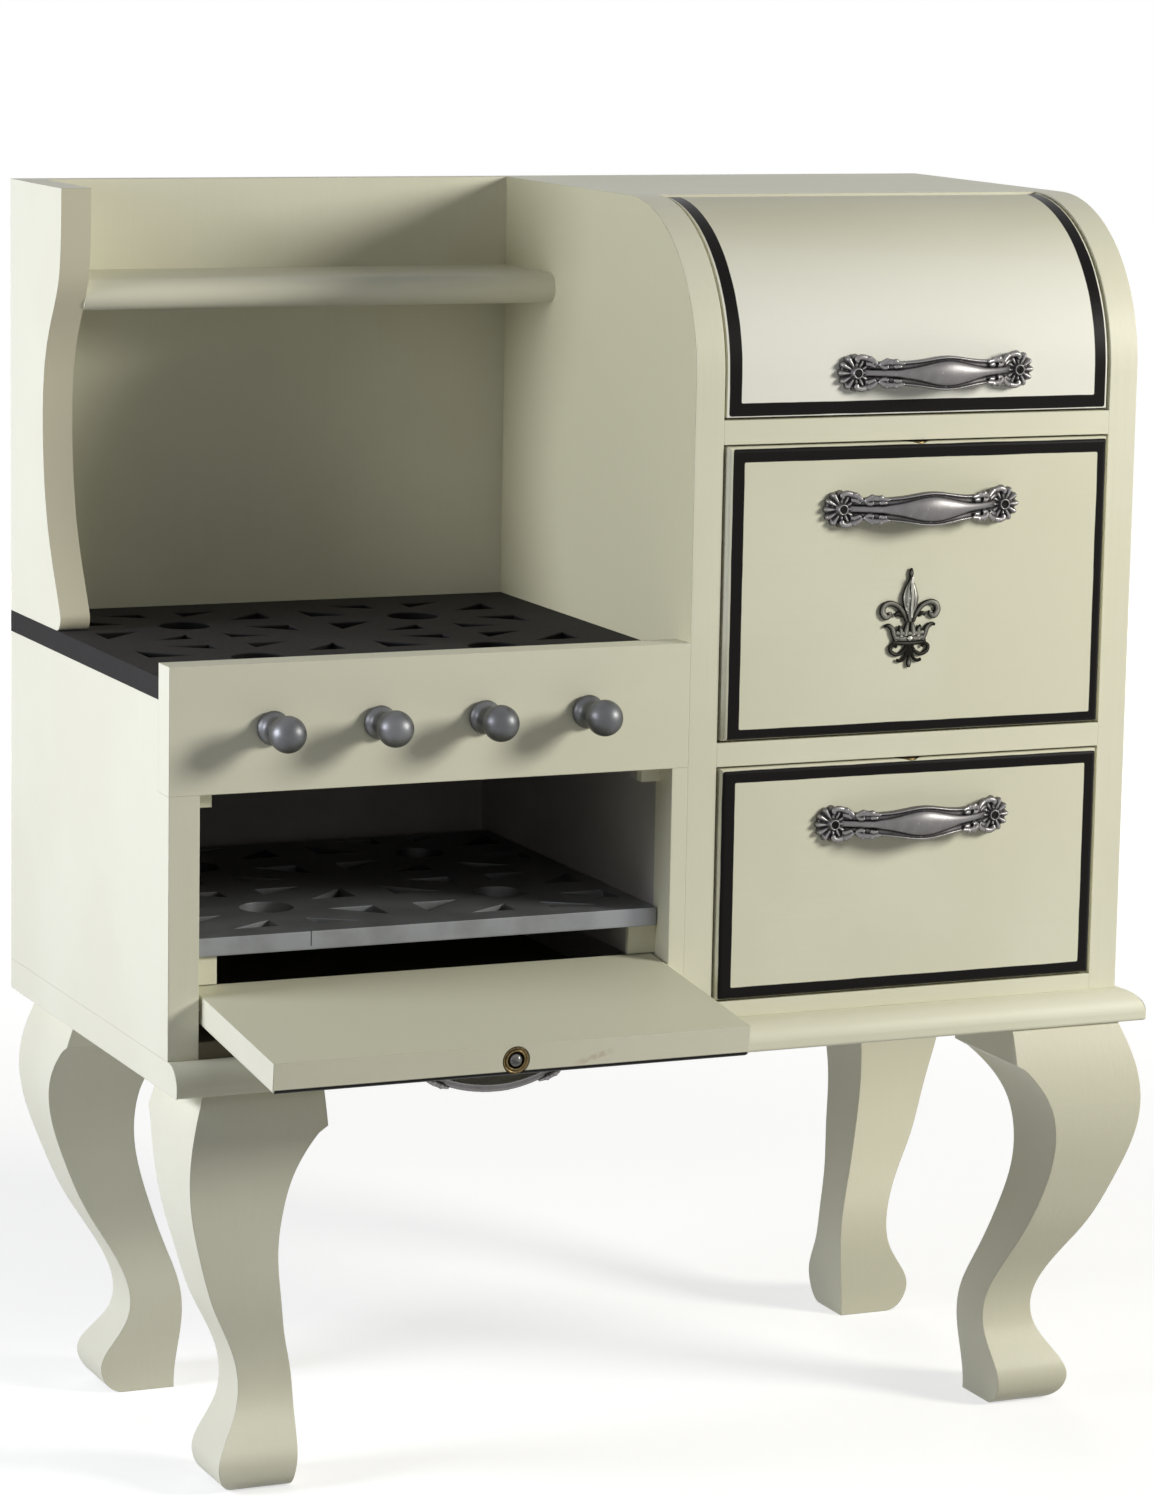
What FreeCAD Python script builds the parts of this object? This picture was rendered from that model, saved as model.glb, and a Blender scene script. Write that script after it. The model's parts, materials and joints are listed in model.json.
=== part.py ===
import FreeCAD, Part
import math
import os

# A doll's kitchen range in painted wood: a hob, oven and hood on the left, a cabinet of three
# doors on the right, on a moulded base with four cabriole legs.
# While it is built, x runs from the left outer side, y from the front face towards the back
# and z up from the floor.

Vec = FreeCAD.Vector
X_AXIS = Vec(1, 0, 0)
Y_AXIS = Vec(0, 1, 0)
Z_AXIS = Vec(0, 0, 1)

# Driving sizes of the carcase, mm
stock = 11.0
thin_board = 6.0
range_width = 191.4
cabinet_inside = 152.6
body_depth = 177.8
leg_height = 145.5
corner_radius = 60.0
base_front_overhang = 9.6
base_right_overhang = 8.0
base_nose_drop = 7.5
base_under_round = 1.2

# Heights of the openings and of the boards between them
oven_opening_height = 85.0
control_board_height = 44.0
hob_recess = 4.9
hob_thick = 7.7
hood_height = 156.9
hood_shelf_drop = 32.7
hood_shelf_front = 124.0
lower_opening_height = 84.5
cabinet_shelf_thick = 8.5
roll_straight = 14.5
hood_arris = 2.0

# Doors and their hinges
door_proud = 2.0
door_edge_round = 2.0
door_side_gap = 1.2
door_top_gap = 0.7
door_bottom_gap = 0.9
hinge_rise = 9.5
pin_radius = 1.0
pin_in_door = 8.0
pin_in_case = 4.6
pin_play = 0.05
pin_end_play = 0.6
oven_open_angle = 96.0
roll_thick = 9.0
roll_inset = 0.5
roll_top_gap = 0.4

# Stops, runners and the sliding rack
stop_width = 7.5
stop_height = 6.0
stop_depth = 10.0
stop_gap = 0.3
runner_width = 10.4
runner_height = 10.0
runner_setback = 0.4
runner_back_gap = 6.4
rack_thick = 6.4
rack_back_gap = 6.2
rack_side_gap = 0.5
rack_door_gap = 0.6
rack_lift = 0.15

# The grille cut in the hob and in the rack, as shares of the range's width and the hob's depth
hob_first_x_share = 0.2482
hob_first_y_share = 0.2014
rack_first_x_share = 0.2273
rack_first_y_share = 0.2608
pitch_x_share = 0.4613
pitch_y_share = 0.4628
half_x_share = 0.1917
half_y_share = 0.1888
upright_bar_share = 0.0711
level_bar_share = 0.1019
end_wedge_x_share = 0.0873
end_wedge_y_share = 0.0647
side_wedge_x_share = 0.0883
side_wedge_y_share = 0.0935
grille_hole_share = 0.0496

# Turned knobs and their screws
knob_count = 4
knob_first_x = 36.6
knob_pitch = 38.6
knob_rise = 21.9
knob_base_radius = 5.9
knob_base_thick = 3.0
knob_neck_radius = 3.9
knob_ball_radius = 6.35
knob_ball_out = 15.4
knob_running_gap = 0.15
knob_screw_radius = 1.6
knob_screw_depth = 10.0
knob_screw_play = 0.08
screw_head_radius = 3.2
screw_head_thick = 1.8

# Cast bow handles
handle_spacing = 64.0
handle_flare_radius = 6.8
handle_flare_thick = 2.0
petal_count = 10
petal_radius = 1.7
petal_thick = 2.6
boss_radius = 2.4
boss_thick = 3.0
bow_reach = 12.4
bow_half_height = 6.1
bow_half_thick = 2.4
handle_screw_radius = 0.9
handle_screw_depth = 7.0
handle_screw_head_radius = 1.5
handle_screw_head_thick = 0.9
middle_handle_drop = 22.6
lower_handle_drop = 21.4
roll_handle_rise = 14.8
roll_handle_shift = 5.6

# Ball catches let into the free edges of the drop doors
cup_flange_radius = 4.9
cup_flange_thick = 0.8
cup_barrel_radius = 3.5
cup_barrel_depth = 9.0
cup_floor = 0.8
ball_radius = 2.6
ball_show = 1.4
ball_travel = 1.2
ball_play = 0.05
spring_radius = 2.2
spring_wire = 0.5
spring_clear = 0.4
strike_length = 14.0
strike_width = 6.0
strike_thick = 0.6
strike_play = 0.4

# Cast ornament on the middle door
emblem_width = 25.6
emblem_height = 36.4
emblem_thick = 1.5
emblem_shift = -3.1
emblem_drop_share = 0.4275

# Legs, each sawn from a square block
leg_block = 50.5
leg_left_inset = 3.0
leg_right_inset = 3.9
leg_front_inset = -5.2
dowel_radius = 4.0
dowel_in_base = 7.0
dowel_in_leg = 15.0

# One overrun for every cut
overrun = 5.0

# Levels and lines that follow
body_width = range_width + stock + cabinet_inside + stock
base_top = leg_height + stock
floor_top = base_top + thin_board
oven_top = floor_top + oven_opening_height
control_top = oven_top + control_board_height
hob_top = control_top - hob_recess
hob_bottom = hob_top - hob_thick
hob_depth = body_depth - stock
body_top = hob_top + hood_height
lower_shelf_bottom = floor_top + lower_opening_height
lower_shelf_top = lower_shelf_bottom + cabinet_shelf_thick
roll_center_z = body_top - corner_radius
upper_shelf_top = roll_center_z - roll_straight
upper_shelf_bottom = upper_shelf_top - cabinet_shelf_thick
back_face = body_depth - thin_board
cabinet_left = range_width + stock
cabinet_right = cabinet_left + cabinet_inside
cabinet_middle = (cabinet_left + cabinet_right) / 2
liner_face = range_width - thin_board
oven_middle = (stock + liner_face) / 2
hinge_line = stock / 2 - door_proud
door_back = stock - door_proud
roll_outer = corner_radius - roll_inset
roll_inner = roll_outer - roll_thick
roll_mid = (roll_outer + roll_inner) / 2
knuckle = roll_thick / 2

# The frame's origin is under the middle of the whole part's box, with the oven door open
angle = math.radians(oven_open_angle)
oven_door_height = oven_opening_height - door_top_gap - door_bottom_gap
corner_reach = (oven_door_height - hinge_rise) * math.sin(angle) - stock / 2 * math.cos(angle)
ball_reach = (oven_door_height - hinge_rise + ball_show) * math.sin(angle)
oven_reach = max(corner_reach, ball_reach)
origin = Vec(
    (body_width + base_right_overhang) / 2,
    (body_depth + hinge_line - oven_reach) / 2,
    0,
)


def block(x0, x1, y0, y1, z0, z1):
    """A box between two corners."""
    return Part.makeBox(x1 - x0, y1 - y0, z1 - z0, Vec(x0, y0, z0))


def rod(radius, start, end):
    """A round bar from one point to another."""
    run = end - start
    return Part.makeCylinder(radius, run.Length, start, run)


def prism(points, direction):
    """A flat outline of straight sides, pushed along a direction."""
    wire = Part.makePolygon(points + [points[0]])
    return Part.Face(wire).extrude(direction)


def arc(start, through, end):
    """A round edge through three points."""
    return Part.Arc(start, through, end).toShape()


def line(start, end):
    """A straight edge."""
    return Part.LineSegment(start, end).toShape()


def solid_of(edges, direction):
    """A closed outline of edges, pushed along a direction."""
    return Part.Face(Part.Wire(edges)).extrude(direction)


def save(name, shape):
    """Moves a finished piece into the part's frame and writes it."""
    piece = shape.copy()
    piece.translate(-origin)
    piece.exportStep("parts/" + name + ".step")


def mirror_x(shape, x):
    return shape.mirror(Vec(x, 0, 0), X_AXIS)


def mirror_y(shape, y):
    return shape.mirror(Vec(0, y, 0), Y_AXIS)


# Base board

def base_profile(x):
    """The round nose of the base's front edge, in the plane at x."""
    nose = base_front_overhang
    drop = base_nose_drop
    bend = math.sqrt(0.5)
    top = Vec(x, 0, base_top)
    shoulder = Vec(x, -nose * bend, base_top - drop * (1 - bend))
    tip = Vec(x, -nose, base_top - drop)
    under = Vec(x, -nose, leg_height + base_under_round)
    turn = base_under_round * (1 - bend)
    low = Vec(x, -nose + turn, leg_height + turn)
    foot = Vec(x, -nose + base_under_round, leg_height)
    inner = Vec(x, 0, leg_height)
    edges = [arc(top, shoulder, tip), line(tip, under), arc(under, low, foot)]
    return edges + [line(foot, inner), line(inner, top)]


def side_profile(y):
    """The same nose on the base's right edge, in the plane at y."""
    share = base_right_overhang / base_front_overhang
    turned = []
    for edge in base_profile(0):
        points = [edge.valueAt(edge.FirstParameter), edge.valueAt(edge.LastParameter)]
        middle = edge.valueAt((edge.FirstParameter + edge.LastParameter) / 2)
        placed = [Vec(body_width - p.y * share, y, p.z) for p in (points[0], middle, points[1])]
        if edge.Curve.TypeId == "Part::GeomLine":
            turned.append(line(placed[0], placed[2]))
        else:
            turned.append(arc(*placed))
    return turned


def make_base():
    board = block(0, body_width, 0, body_depth, leg_height, base_top)
    right_end = body_width + base_right_overhang
    front = solid_of(base_profile(0), Vec(right_end, 0, 0))
    side = solid_of(side_profile(-base_front_overhang), Vec(0, body_depth + base_front_overhang, 0))
    low = leg_height - overrun
    high = Vec(0, 0, stock + overrun + overrun)
    front_miter = prism([
        Vec(-overrun, overrun, low),
        Vec(body_width, overrun, low),
        Vec(body_width, 0, low),
        Vec(right_end, -base_front_overhang, low),
        Vec(right_end, -base_front_overhang - overrun, low),
        Vec(-overrun, -base_front_overhang - overrun, low),
    ], high)
    side_miter = prism([
        Vec(body_width - overrun, 0, low),
        Vec(body_width, 0, low),
        Vec(right_end, -base_front_overhang, low),
        Vec(right_end + overrun, -base_front_overhang, low),
        Vec(right_end + overrun, body_depth + overrun, low),
        Vec(body_width - overrun, body_depth + overrun, low),
    ], high)
    board = board.fuse([front.common(front_miter), side.common(side_miter)]).removeSplitter()
    for x, y in leg_centers():
        board = board.cut(rod(dowel_radius, Vec(x, y, leg_height - overrun),
                              Vec(x, y, leg_height + dowel_in_base)))
    return board


# Legs, as the common solid of a front profile and a side profile.
# Each pair of shares is an inset into the block and a height up the leg.
outer_shares = [(0.50, 0.0), (0.375, 0.028), (0.34, 0.075), (0.405, 0.125), (0.525, 0.195),
                (0.548, 0.245), (0.47, 0.345), (0.265, 0.475), (0.125, 0.60), (0.025, 0.72),
                (0.0, 0.80), (0.025, 0.885), (0.10, 0.97), (0.135, 1.0)]
inner_shares = [(0.90, 0.0), (0.915, 0.09), (0.945, 0.20), (0.93, 0.27), (0.845, 0.37),
                (0.745, 0.49), (0.672, 0.62), (0.675, 0.72), (0.73, 0.80), (0.84, 0.865),
                (0.93, 0.90)]
bracket_share = 0.915


def leg_profile(corner, across, push):
    """The sawn outline of a leg: across points from its outer side into the block."""
    def spot(share, rise):
        return corner + across * (share * leg_block) + Z_AXIS * (rise * leg_height)
    outer = Part.BSplineCurve()
    outer.interpolate([spot(s, r) for s, r in outer_shares])
    inner = Part.BSplineCurve()
    inner.interpolate([spot(s, r) for s, r in inner_shares])
    edges = [
        line(spot(*inner_shares[0]), spot(*outer_shares[0])),
        outer.toShape(),
        line(spot(*outer_shares[-1]), spot(1, 1)),
        line(spot(1, 1), spot(1, bracket_share)),
        line(spot(1, bracket_share), spot(*inner_shares[-1])),
        inner.toShape(),
    ]
    return Part.Face(Part.Wire(Part.sortEdges(edges)[0])).extrude(push * leg_block)


def leg_lines():
    left = leg_left_inset
    right = body_width + base_right_overhang - leg_right_inset
    return left, right, leg_front_inset - base_front_overhang, body_depth


def leg_centers():
    left, right, front, back = leg_lines()
    half = leg_block / 2
    return [(x, y) for y in (front + half, back - half) for x in (left + half, right - half)]


def make_leg():
    """The front left leg."""
    left, right, front, back = leg_lines()
    corner = Vec(left, front, 0)
    from_front = leg_profile(corner, X_AXIS, Y_AXIS)
    from_side = leg_profile(corner, Y_AXIS, X_AXIS)
    leg = from_front.common(from_side)
    x, y = leg_centers()[0]
    return leg.cut(rod(dowel_radius, Vec(x, y, leg_height - dowel_in_leg),
                       Vec(x, y, leg_height + overrun)))


def make_legs():
    left, right, front, back = leg_lines()
    first = make_leg()
    middle_x = (left + right) / 2
    middle_y = (front + back) / 2
    save("leg_front_left", first)
    save("leg_front_right", mirror_x(first, middle_x))
    save("leg_back_left", mirror_y(first, middle_y))
    save("leg_back_right", mirror_y(mirror_x(first, middle_x), middle_y))
    dowels = [rod(dowel_radius, Vec(x, y, leg_height - dowel_in_leg),
                  Vec(x, y, leg_height + dowel_in_base)) for x, y in leg_centers()]
    save("leg_dowels", Part.makeCompound(dowels))


# Carcase boards

def pin_hole(x, y, z, way):
    """A blind hole for a hinge pin, from the face at x, into the board on the side of way."""
    start = Vec(x - way * overrun, y, z)
    end = Vec(x + way * (pin_in_case + pin_end_play), y, z)
    return rod(pin_radius + pin_play, start, end)


def hinge_height(opening_bottom):
    return opening_bottom + door_bottom_gap + hinge_rise


def roll_pivot():
    y = corner_radius - knuckle
    z = roll_center_z + math.sqrt(roll_mid ** 2 - knuckle ** 2)
    return y, z


def make_left_side():
    board = block(0, stock, 0, body_depth, base_top, hob_bottom)
    board = board.cut(block(-overrun, stock + overrun, -overrun, stock, oven_top, control_top))
    return board.cut(pin_hole(stock, hinge_line, hinge_height(floor_top), -1))


# The hood side's wavy front: each pair of shares is a depth of the body and a height of the hood
hood_front_shares = [(0.664, 1.0), (0.668, 0.87), (0.684, 0.785), (0.735, 0.69), (0.772, 0.595),
                     (0.784, 0.49), (0.776, 0.345), (0.742, 0.20), (0.700, 0.105), (0.672, 0.045)]


def make_hood_side():
    def spot(share, rise):
        return Vec(0, share * body_depth, hob_top + rise * hood_height)
    wave = Part.BSplineCurve()
    wave.interpolate([spot(s, r) for s, r in hood_front_shares])
    last = spot(*hood_front_shares[-1])
    toe = Vec(0, last.y + hood_arris + hood_arris, hob_top)
    turn = Vec(0, last.y + hood_arris / 2, hob_top + hood_arris / 2)
    top_back = Vec(0, body_depth, body_top)
    low_back = Vec(0, body_depth, hob_top)
    edges = [wave.toShape(), arc(last, turn, toe), line(toe, low_back),
             line(low_back, top_back), line(top_back, spot(*hood_front_shares[0]))]
    return solid_of(edges, X_AXIS * stock)


def round_shouldered(x, depth):
    """An upright board at x whose top front corner is a quarter round."""
    bend = corner_radius * (1 - math.sqrt(0.5))
    low_front = Vec(x, 0, base_top)
    round_start = Vec(x, 0, body_top - corner_radius)
    round_mid = Vec(x, bend, body_top - bend)
    round_end = Vec(x, corner_radius, body_top)
    top_back = Vec(x, depth, body_top)
    low_back = Vec(x, depth, base_top)
    edges = [line(low_front, round_start), arc(round_start, round_mid, round_end),
             line(round_end, top_back), line(top_back, low_back), line(low_back, low_front)]
    return solid_of(edges, X_AXIS * stock)


def cabinet_pin_holes(x, way):
    holes = [pin_hole(x, hinge_line, hinge_height(floor_top), way),
             pin_hole(x, hinge_line, hinge_height(lower_shelf_top), way)]
    y, z = roll_pivot()
    return holes + [pin_hole(x, y, z, way)]


def make_divider():
    board = round_shouldered(range_width, back_face)
    return board.cut(cabinet_pin_holes(cabinet_left, -1))


def make_right_side():
    board = round_shouldered(cabinet_right, body_depth)
    return board.cut(cabinet_pin_holes(cabinet_right, 1))


def strike_point(middle, board_bottom):
    """Where a ball catch meets the board over its door."""
    return Vec(middle, hinge_line, board_bottom)


def strike_plate(point):
    plate = block(point.x - strike_length / 2, point.x + strike_length / 2,
                  point.y - strike_width / 2, point.y + strike_width / 2,
                  point.z, point.z + strike_thick)
    return plate.cut(ball_room(point))


def ball_room(point):
    """The hollow over a strike where the ball beds."""
    middle = point + Z_AXIS * (ball_show - ball_radius - door_top_gap)
    return Part.makeSphere(ball_radius + strike_play, middle)


def strike_cuts(point):
    seat = block(point.x - strike_length / 2, point.x + strike_length / 2,
                 point.y - strike_width / 2, point.y + strike_width / 2,
                 point.z - overrun, point.z + strike_thick)
    return [seat, ball_room(point)]


def strike_points():
    return [strike_point(oven_middle, oven_top),
            strike_point(cabinet_middle, lower_shelf_bottom),
            strike_point(cabinet_middle, upper_shelf_bottom)]


def make_shelf(bottom, top):
    board = block(cabinet_left, cabinet_right, 0, back_face, bottom, top)
    return board.cut(strike_cuts(strike_point(cabinet_middle, bottom)))


def make_control_board():
    board = block(0, range_width, 0, stock, oven_top, control_top)
    board = board.cut(strike_cuts(strike_point(oven_middle, oven_top)))
    for place in knob_places():
        hole_start = place - Y_AXIS * overrun
        hole_end = place + Y_AXIS * (stock + overrun)
        board = board.cut(rod(knob_screw_radius + knob_screw_play, hole_start, hole_end))
    return board


def make_hood_shelf():
    top = body_top - hood_shelf_drop
    half = stock / 2
    front = hood_shelf_front + half
    board = block(stock, range_width, front, back_face, top - stock, top)
    nose = rod(half, Vec(stock, front, top - half), Vec(range_width, front, top - half))
    return board.fuse(nose).removeSplitter()


def wedge(corner, run, rise, bottom, height):
    """A right-angled triangle with its square corner at corner."""
    points = [Vec(corner.x, corner.y, bottom), Vec(corner.x + run, corner.y, bottom),
              Vec(corner.x, corner.y + rise, bottom)]
    return prism(points, Vec(0, 0, height))


def grille_cuts(first_x, first_y, bottom, thick):
    """The round hole and eight wedges of each of the four burners."""
    half_x = half_x_share * range_width
    half_y = half_y_share * hob_depth
    bar_x = upright_bar_share * range_width / 2
    bar_y = level_bar_share * hob_depth / 2
    end_x = end_wedge_x_share * range_width
    end_y = end_wedge_y_share * hob_depth
    side_x = side_wedge_x_share * range_width
    side_y = side_wedge_y_share * hob_depth
    hole = grille_hole_share * range_width
    cuts = []
    low = bottom - overrun
    tall = thick + overrun + overrun
    for column in (0, 1):
        for row in (0, 1):
            x = first_x + column * pitch_x_share * range_width
            y = first_y + row * pitch_y_share * hob_depth
            cuts.append(rod(hole, Vec(x, y, low), Vec(x, y, low + tall)))
            for side in (-1, 1):
                for end in (-1, 1):
                    near_upright = Vec(x + side * bar_x, y + end * half_y, 0)
                    near_level = Vec(x + side * half_x, y + end * bar_y, 0)
                    cuts.append(wedge(near_upright, side * end_x, -end * end_y, low, tall))
                    cuts.append(wedge(near_level, -side * side_x, end * side_y, low, tall))
    return cuts


def make_hob():
    plate = block(0, range_width, stock, body_depth, hob_bottom, hob_top)
    plate = plate.cut(block(stock, range_width + overrun, back_face, body_depth + overrun,
                            hob_bottom - overrun, hob_top + overrun))
    first_x = hob_first_x_share * range_width
    first_y = stock + hob_first_y_share * hob_depth
    return plate.cut(grille_cuts(first_x, first_y, hob_bottom, hob_thick))


def make_carcase():
    save("base_board", make_base())
    save("left_side", make_left_side())
    save("hood_side", make_hood_side())
    save("divider", make_divider())
    save("right_side", make_right_side())
    save("back_panel", block(stock, cabinet_right, back_face, body_depth, base_top, body_top))
    save("hob_plate", make_hob())
    save("control_board", make_control_board())
    save("hood_shelf", make_hood_shelf())
    save("oven_floor", block(stock, range_width, 0, back_face, base_top, floor_top))
    save("oven_ceiling", block(stock, range_width, stock, back_face, oven_top,
                               oven_top + thin_board))
    liner = block(liner_face, range_width, 0, back_face, floor_top, oven_top)
    save("oven_liner", liner.cut(pin_hole(liner_face, hinge_line, hinge_height(floor_top), 1)))
    save("cabinet_floor", block(cabinet_left, cabinet_right, 0, back_face, base_top, floor_top))
    save("lower_shelf", make_shelf(lower_shelf_bottom, lower_shelf_top))
    save("upper_shelf", make_shelf(upper_shelf_bottom, upper_shelf_top))
    save("catch_strikes", Part.makeCompound([strike_plate(p) for p in strike_points()]))
    save("cabinet_top", block(cabinet_left, cabinet_right, corner_radius + roll_top_gap,
                              back_face, body_top - stock, body_top))


# Runners, the rack and the doors' stops

def rest_height(opening_bottom):
    """The level of what stops an open door, just above its lower inner edge."""
    rise = -hinge_rise * math.cos(angle) + stock / 2 * math.sin(angle)
    return hinge_height(opening_bottom) + rise + stop_gap


def stop_pair(left, right, front, low):
    """Two small blocks, one against each wall of an opening."""
    return [block(x, x + stop_width, front, front + stop_depth, low, low + stop_height)
            for x in (left, right - stop_width)]


def make_oven_fittings():
    bottom = rest_height(floor_top)
    start = stock + runner_setback
    top = bottom + runner_height
    end = back_face - runner_back_gap
    runners = [block(x, x + runner_width, start, end, bottom, top)
               for x in (stock, liner_face - runner_width)]
    save("rack_runners", Part.makeCompound(runners))
    front = door_back + rack_door_gap
    low = top + rack_lift
    rack = block(stock + rack_side_gap, liner_face - rack_side_gap,
                 front, back_face - rack_back_gap, low, low + rack_thick)
    first_x = stock + rack_first_x_share * range_width
    first_y = front + rack_first_y_share * hob_depth
    cuts = grille_cuts(first_x, first_y, low, rack_thick)
    save("oven_rack", rack.cut(cuts))
    behind_door = door_back + stop_gap
    stops = stop_pair(stock, liner_face, behind_door, oven_top - stop_height)
    save("oven_door_stops", Part.makeCompound(stops))


def make_cabinet_stops():
    """Blocks that stop each cabinet door where it closes, and the drop doors where they open."""
    sides = (cabinet_left, cabinet_right)
    behind_door = door_back + stop_gap
    stops = stop_pair(*sides, roll_inset + roll_thick + stop_gap, upper_shelf_top)
    for bottom, top in ((floor_top, lower_shelf_bottom), (lower_shelf_top, upper_shelf_bottom)):
        stops += stop_pair(*sides, behind_door, top - stop_height)
        stops += stop_pair(*sides, stock + runner_setback, rest_height(bottom))
    save("cabinet_door_stops", Part.makeCompound(stops))


# Knobs

def knob_places():
    z = oven_top + knob_rise
    return [Vec(knob_first_x + n * knob_pitch, 0, z) for n in range(knob_count)]


def make_knob(place):
    """A turned knob: a round collar against the board, a neck and a ball."""
    def spot(radius, out):
        return Vec(place.x + radius, -out, place.z)
    back = knob_running_gap
    join = math.sqrt(knob_ball_radius ** 2 - knob_neck_radius ** 2)
    neck_end = knob_ball_out - join
    collar_end = back + knob_base_thick
    belly = spot(knob_base_radius, back + knob_base_thick / 2)
    shrink = knob_base_radius - knob_base_thick / 2
    hollow = spot(knob_neck_radius, (collar_end + neck_end) / 2)
    edges = [
        line(spot(0, back), spot(shrink, back)),
        arc(spot(shrink, back), belly, spot(shrink, collar_end)),
        arc(spot(shrink, collar_end), hollow, spot(knob_neck_radius, neck_end)),
        arc(spot(knob_neck_radius, neck_end), spot(knob_ball_radius, knob_ball_out),
            spot(0, knob_ball_out + knob_ball_radius)),
        line(spot(0, knob_ball_out + knob_ball_radius), spot(0, back)),
    ]
    face = Part.Face(Part.Wire(edges))
    knob = face.revolve(place, Y_AXIS, 360)
    if knob.Volume < 0:
        knob.reverse()
    return knob.cut(rod(knob_screw_radius, place + Y_AXIS * overrun,
                        place - Y_AXIS * knob_screw_depth))


def make_knob_screw(place):
    """A pan-head screw from behind the board into the knob."""
    head_start = place + Y_AXIS * (stock + knob_running_gap)
    shank = rod(knob_screw_radius, place - Y_AXIS * knob_screw_depth, head_start)
    head = rod(screw_head_radius, head_start, head_start + Y_AXIS * screw_head_thick)
    return shank.fuse(head).removeSplitter()


def make_knobs():
    for number, place in enumerate(knob_places(), 1):
        save("knob_" + str(number), make_knob(place))
        save("knob_screw_" + str(number), make_knob_screw(place))


# Handles, built facing the front with their middle at the origin, then set on a door

# Half of the bow, as shares: along the half spacing, of the reach, of the half height, of the
# half thickness
bow_shares = [(0.97, 0.03, 0.66, 0.70), (0.85, 0.15, 0.88, 0.75), (0.72, 0.34, 0.82, 0.80),
              (0.60, 0.50, 0.70, 0.75), (0.50, 0.61, 0.66, 0.75), (0.34, 0.71, 0.80, 0.90),
              (0.0, 0.80, 1.0, 1.0)]


def bow_section(along, share):
    position, reach, height, thick = share
    center = Vec(along * position * handle_spacing / 2, -reach * bow_reach, 0)
    long_radius = height * bow_half_height
    short_radius = thick * bow_half_thick
    ring = Part.Ellipse(center + Z_AXIS * long_radius, center - Y_AXIS * short_radius, center)
    return Part.Wire(ring.toShape())


def make_handle():
    """A bow between two shell-shaped ends, each with a hole for its screw."""
    sections = [bow_section(-1, share) for share in bow_shares]
    sections += [bow_section(1, share) for share in reversed(bow_shares[:-1])]
    handle = Part.makeLoft(sections, True, False)
    half = handle_spacing / 2
    petal_ring = handle_flare_radius - petal_radius
    for way in (-1, 1):
        middle = Vec(way * half, 0, 0)
        pieces = [rod(petal_ring, middle, middle - Y_AXIS * handle_flare_thick),
                  rod(boss_radius, middle, middle - Y_AXIS * boss_thick)]
        for n in range(petal_count):
            turn = math.radians(360 * n / petal_count)
            tip = middle + Vec(way * math.cos(turn), 0, math.sin(turn)) * petal_ring
            pieces.append(rod(petal_radius, tip, tip - Y_AXIS * petal_thick))
        handle = handle.fuse(pieces)
    handle = handle.common(block(-half - handle_flare_radius, half + handle_flare_radius,
                                 -bow_reach - bow_half_thick, 0,
                                 -handle_flare_radius, handle_flare_radius))
    for way in (-1, 1):
        middle = Vec(way * half, 0, 0)
        handle = handle.cut(rod(handle_screw_radius, middle + Y_AXIS * overrun,
                                middle - Y_AXIS * (boss_thick + overrun)))
        seat = middle - Y_AXIS * boss_thick
        handle = handle.cut(rod(handle_screw_head_radius, seat, seat - Y_AXIS * bow_reach))
    return handle.removeSplitter()


def handle_screws():
    screws = []
    for way in (-1, 1):
        middle = Vec(way * handle_spacing / 2, 0, 0)
        seat = middle - Y_AXIS * boss_thick
        shank = rod(handle_screw_radius, seat, middle + Y_AXIS * handle_screw_depth)
        head = rod(handle_screw_head_radius, seat, seat - Y_AXIS * handle_screw_head_thick)
        screws.append(shank.fuse(head).removeSplitter())
    return screws


def screw_holes(place):
    """Where a handle's screws enter a door."""
    holes = []
    for way in (-1, 1):
        middle = place + Vec(way * handle_spacing / 2, 0, 0)
        holes.append(rod(handle_screw_radius, middle - Y_AXIS * overrun,
                         middle + Y_AXIS * handle_screw_depth))
    return holes


# Doors

def slab(left, right, bottom, top):
    """A flat door with its front edges rounded."""
    x0 = left + door_side_gap
    x1 = right - door_side_gap
    board = block(x0, x1, -door_proud, door_back, bottom + door_bottom_gap, top - door_top_gap)
    face = [f for f in board.Faces if f.CenterOfMass.y < -door_proud + pin_play]
    return board.makeFillet(door_edge_round, face[0].Edges)


def hinge_pins(left, right, y, z):
    """Two pins, fixed in the door's ends and running in the case."""
    pins = []
    for edge, way in ((left, 1), (right, -1)):
        inside = Vec(edge + way * (door_side_gap + pin_in_door), y, z)
        outside = Vec(edge - way * pin_in_case, y, z)
        pins.append(rod(pin_radius, inside, outside))
    return pins


def make_catch(edge):
    """A ball catch in a door's free edge at edge: its cup, its ball and the spring behind."""
    ball_middle = edge + Z_AXIS * (ball_show - ball_radius)
    floor = edge - Z_AXIS * (cup_barrel_depth - cup_floor)
    cup = rod(cup_flange_radius, edge - Z_AXIS * cup_flange_thick, edge)
    cup = cup.fuse(rod(cup_barrel_radius, edge - Z_AXIS * cup_barrel_depth, edge))
    bore = rod(ball_radius + ball_play, floor, ball_middle)
    cup = cup.removeSplitter().cut([bore, Part.makeSphere(ball_radius + ball_play, ball_middle)])
    spring_top = ball_middle - Z_AXIS * (ball_radius + ball_travel - spring_clear)
    spring = rod(spring_radius, floor, spring_top)
    spring = spring.cut(rod(spring_radius - spring_wire, floor, spring_top))
    return cup, Part.makeSphere(ball_radius, ball_middle), spring


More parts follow.
